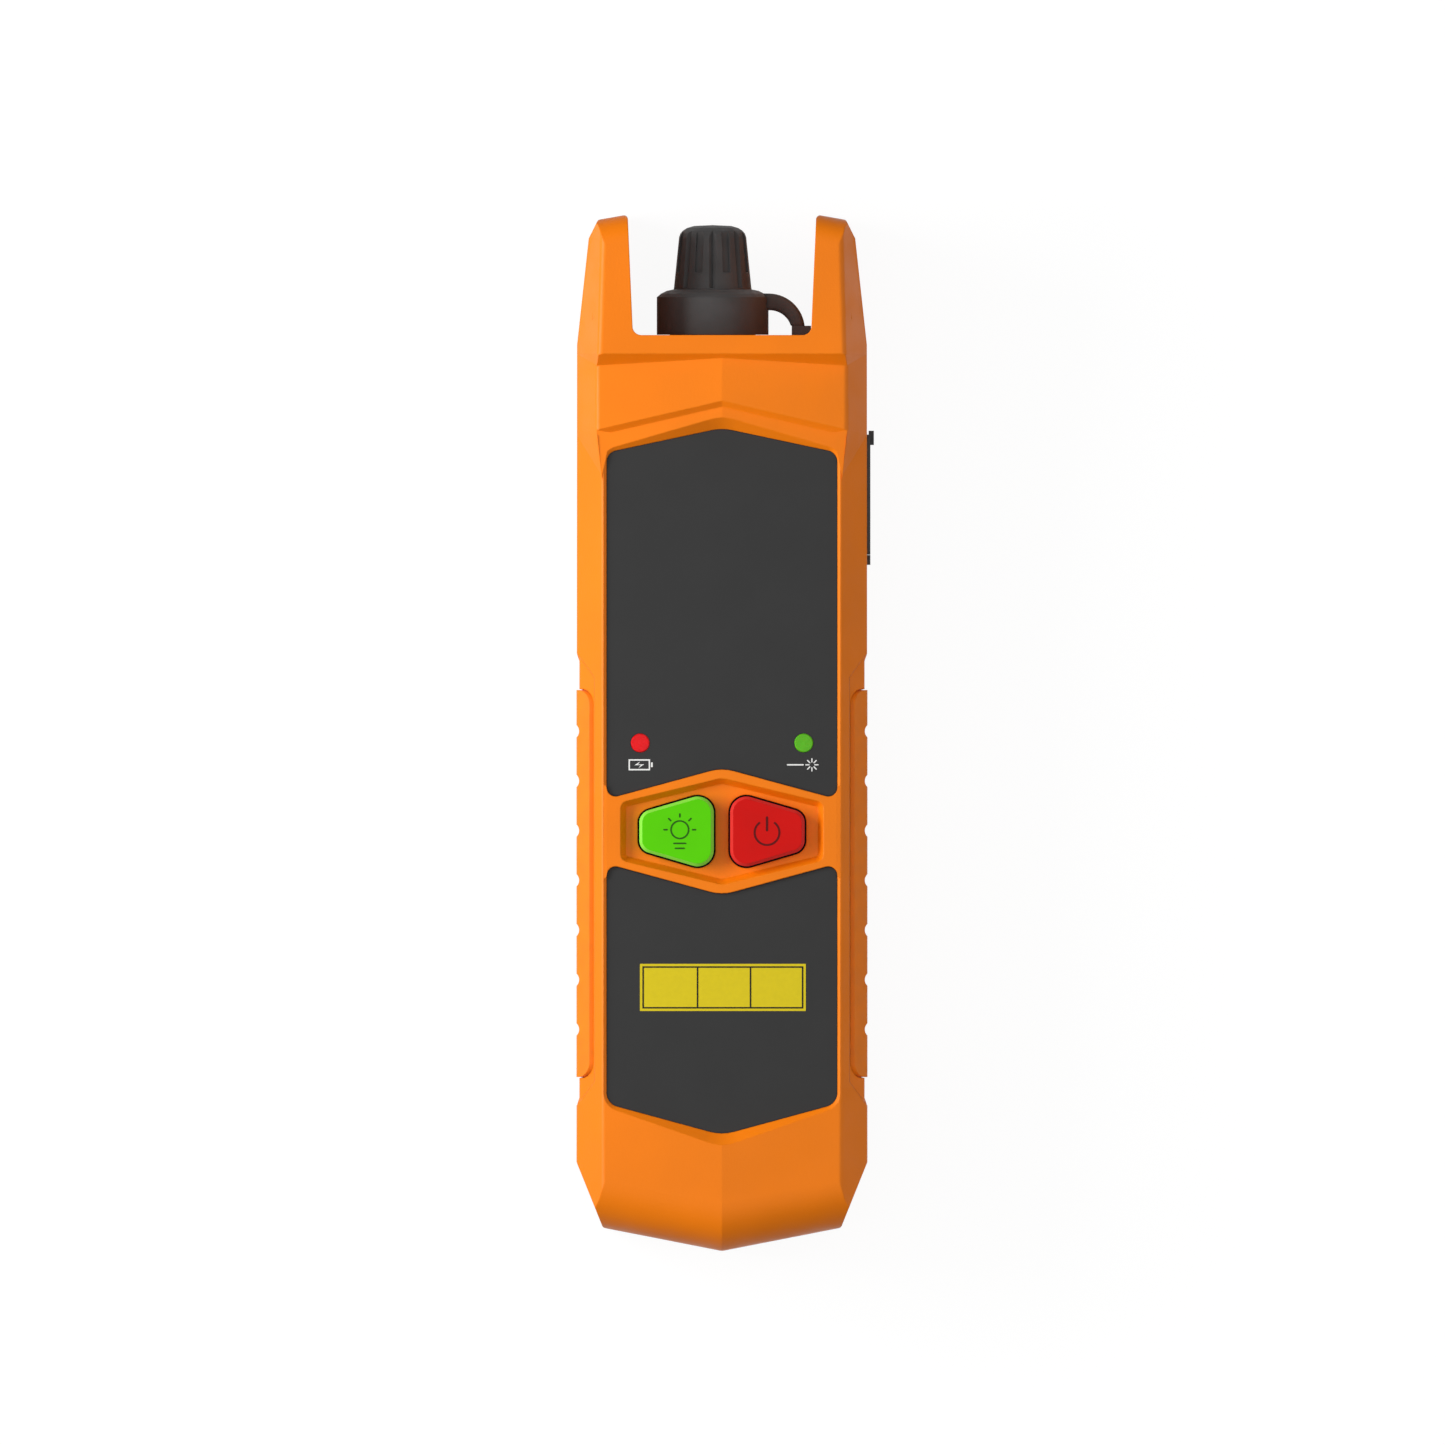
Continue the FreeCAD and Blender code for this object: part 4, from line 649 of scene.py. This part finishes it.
# ---- Roof patches ----
# front_shell has two pairs of narrow grooves that don't show on the real case, and these fills
# cover them. The ramp goes from the crest of the raised chamfer, where the chevron step ends,
# over the foot of that step and past the window's corner to where the chamfer has run out.
# The land patch joins the land beside the pocket to the window's rim. Corners are those of
# the right side in millimetres, with heights below the top of the case.
RAMP_CREST = (21.52, 52.03, -2.56)
RAMP_STEP_FOOT = (19.2, 51.56, -3.21)
RAMP_WINDOW = (19.95, 47.3, -3.26)
RAMP_RUN_OUT = (20.66, 43.95, -3.29)
LAND_CENTRE_Y = -17.05
LAND_CORNERS = ((20.4, 8.15, -3.34), (19.87, 7.75, -3.3), (19.72, 6.85, -3.29))
PATCH_DEPTH = 1.2 * MM
ROOF_TILT = math.radians(4.2)


def land_outline():
    """The land patch's corners, which are the same above and below its centre."""
    upper = [(x, LAND_CENTRE_Y + reach, z) for x, reach, z in LAND_CORNERS]
    lower = [(x, LAND_CENTRE_Y - reach, z) for x, reach, z in reversed(LAND_CORNERS)]
    return upper + lower


def roof_patches():
    """Small fills in the case's roof, shaded as the roof itself."""
    case_top = Vector((0, 0, top_of("front_shell")))
    depth = Vector((0, 0, PATCH_DEPTH))
    ramp_outline = [RAMP_CREST, RAMP_STEP_FOOT, RAMP_WINDOW, RAMP_RUN_OUT]
    mesh = bmesh.new()
    roof_normals = []
    for side in (-1, 1):
        normal = (side * math.sin(ROOF_TILT), 0, math.cos(ROOF_TILT))
        for outline in (ramp_outline, land_outline()):
            top = [mesh.verts.new(case_top + Vector((side * x, y, z)) * MM)
                   for x, y, z in outline]
            base = [mesh.verts.new(vertex.co - depth) for vertex in top]
            for second, third in zip(top[1:], top[2:]):
                mesh.faces.new((top[0], second, third))
            mesh.faces.new(base[::-1])
            join_rings(mesh, base, top)
            roof_normals += [normal] * (len(top) + len(base))
    plastic = moulded_plastic("orange_patches", ORANGE, edge_mm=0)
    piece = made_object("roof_patches", mesh, plastic, smooth=True)
    piece.data.normals_split_custom_set_from_vertices(roof_normals)
    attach(piece, "case")


# ---- Cap strap ----
STRAP_OUTER_RADIUS = 6.25 * MM
STRAP_INNER_RADIUS = 3.8 * MM
STRAP_INNER_SHIFT = Vector((0.2 * MM, -0.45 * MM, 0))
STRAP_EDGE_ROUND = 0.7 * MM
STRAP_EDGE_STEPS = 4
STRAP_STEPS = 14
STRAP_SINK = 0.5 * MM


def rounded_section(width, thickness, radius):
    """Points of a rounded rectangle about the origin, counter-clockwise."""
    points = []
    for quarter, (sx, sy) in enumerate(((1, 1), (-1, 1), (-1, -1), (1, -1))):
        for step in range(STRAP_EDGE_STEPS + 1):
            angle = math.radians(90 * quarter + 90 * step / STRAP_EDGE_STEPS)
            points.append((sx * (width / 2 - radius) + radius * math.cos(angle),
                           sy * (thickness / 2 - radius) + radius * math.sin(angle)))
    return points


def arc_points(centre, radius, low_y):
    """Points up a quarter circle, from the height low_y to its top."""
    first = math.asin((low_y - centre.y) / radius)
    angles = [first + (math.pi / 2 - first) * step / STRAP_STEPS
              for step in range(STRAP_STEPS + 1)]
    return [centre + Vector((math.cos(angle), math.sin(angle), 0)) * radius for angle in angles]


def strap_sides():
    """Outer and inner line of the strap, from its foot up and over to the cap's ring."""
    low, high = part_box("cap_strap")
    centre_y = high.y - STRAP_OUTER_RADIUS
    centre_x = high.x - math.sqrt(STRAP_OUTER_RADIUS ** 2 - (low.y - centre_y) ** 2)
    centre = Vector((centre_x, centre_y, (low.z + high.z) / 2))
    outer = arc_points(centre, STRAP_OUTER_RADIUS, low.y)
    inner = arc_points(centre + STRAP_INNER_SHIFT, STRAP_INNER_RADIUS, low.y)
    for side in (outer, inner):
        side.append(Vector((low.x - STRAP_SINK, side[-1].y, centre.z)))
    return outer, inner


def cap_strap(rubber):
    """Soft strap with rounded edges."""
    low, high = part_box("cap_strap")
    across = Vector((0, 0, 1))
    mesh = bmesh.new()
    rings = []
    for outer, inner in zip(*strap_sides()):
        middle = (outer + inner) / 2
        outwards = (outer - inner).normalized()
        section = rounded_section(high.z - low.z, (outer - inner).length, STRAP_EDGE_ROUND)
        rings.append([mesh.verts.new(middle + across * u + outwards * v) for u, v in section])
    for lower, upper in zip(rings, rings[1:]):
        join_rings(mesh, lower, upper)
    mesh.faces.new(rings[0][::-1])
    mesh.faces.new(rings[-1])
    piece = made_object("soft_cap_strap", mesh, rubber, smooth=True)
    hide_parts("cap_strap")
    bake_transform(piece)


# ---- Stage ----
def mixed_by_ray(tree, seen, unseen):
    """Join two shaders: the first for what the camera, gloss and glass see."""
    rays = tree.nodes.new("ShaderNodeLightPath").outputs
    is_seen = rays["Is Camera Ray"]
    for name in ("Is Glossy Ray", "Is Transmission Ray"):
        is_seen = calculated(tree, "MAXIMUM", is_seen, rays[name])
    mix = tree.nodes.new("ShaderNodeMixShader")
    for socket, value in zip(mix.inputs, (is_seen, unseen, seen)):
        feed(tree, socket, value)
    return mix.outputs[0]


def sky_strength(tree):
    """Light that is strongest overhead and at both sides, and falls off along Y."""
    direction = tree.nodes.new("ShaderNodeTexCoord").outputs["Generated"]
    across = tree.nodes.new("ShaderNodeVectorMath")
    across.operation = "MULTIPLY"
    feed(tree, across.inputs[0], direction)
    feed(tree, across.inputs[1], (1, 0, 1))
    reach = tree.nodes.new("ShaderNodeVectorMath")
    reach.operation = "LENGTH"
    feed(tree, reach.inputs[0], across.outputs["Vector"])
    fall = calculated(tree, "POWER", reach.outputs["Value"], SKY_FALL)
    return calculated(tree, "MULTIPLY", fall, SKY_STRENGTH)


def world():
    """Soft studio light, white where it is seen."""
    scene_world = bpy.data.worlds.new("studio")
    bpy.context.scene.world = scene_world
    scene_world.use_nodes = True
    tree = scene_world.node_tree
    seen = tree.nodes["Background"]
    light = tree.nodes.new("ShaderNodeBackground")
    for background, strength in ((seen, 1.0), (light, sky_strength(tree))):
        feed(tree, background.inputs["Color"], linear(WHITE))
        feed(tree, background.inputs["Strength"], strength)
    joined = mixed_by_ray(tree, seen.outputs[0], light.outputs[0])
    tree.links.new(joined, tree.nodes["World Output"].inputs["Surface"])


def grey_paper(tree, value):
    """Matt shader of one linear grey."""
    made = tree.nodes.new("ShaderNodeBsdfDiffuse")
    made.inputs["Color"].default_value = (value, value, value, 1)
    return made.outputs[0]


def floor_material():
    """Paper that shows nearly white, and throws back less light than it shows."""
    material = bpy.data.materials.new("floor")
    material.use_nodes = True
    tree = material.node_tree
    tree.nodes.remove(tree.nodes["Principled BSDF"])
    glow = tree.nodes.new("ShaderNodeEmission")
    glow.inputs["Strength"].default_value = FLOOR_GLOW
    white = tree.nodes.new("ShaderNodeAddShader")
    feed(tree, white.inputs[0], grey_paper(tree, FLOOR_PAPER))
    feed(tree, white.inputs[1], glow.outputs[0])
    joined = mixed_by_ray(tree, white.outputs[0], grey_paper(tree, FLOOR_GREY))
    tree.links.new(joined, tree.nodes["Material Output"].inputs["Surface"])
    return material


def floor():
    """Pale floor that keeps the object's shadow."""
    half = FLOOR_SIZE / 2
    corners = [(-half, -half, 0), (half, -half, 0), (half, half, 0), (-half, half, 0)]
    mesh = bpy.data.meshes.new("floor")
    mesh.from_pydata(corners, [], [(0, 1, 2, 3)])
    mesh.materials.append(floor_material())
    linked("floor", mesh)


def key_light():
    """One soft box from the left, near enough to fade a little across the case."""
    data = bpy.data.lights.new("key", "AREA")
    data.shape = "RECTANGLE"
    data.size, data.size_y = KEY_SIZE
    data.energy = KEY_POWER
    lamp = linked("key", data)
    towards = KEY_DIRECTION.normalized()
    lamp.location = towards * KEY_DISTANCE
    lamp.rotation_euler = towards.to_track_quat("Z", "Y").to_euler()


def camera():
    """Straight above and without perspective, with the port end at the top."""
    data = bpy.data.cameras.new("camera")
    data.type = "ORTHO"
    data.ortho_scale = VIEW_WIDTH
    data.clip_end = 2 * CAMERA_DISTANCE
    piece = linked("camera", data)
    piece.location = (*VIEW_CENTRE, CAMERA_DISTANCE)
    bpy.context.scene.camera = piece


cap_rubber = dress_outside()
dress_inside()
torch_symbol()
power_symbol()
yellow_field()
lamp_symbols()
roof_patches()
cap_strap(cap_rubber)
world()
floor()
key_light()
camera()

scene = bpy.context.scene
scene.view_settings.view_transform = "Standard"

bpy.context.view_layer.update()
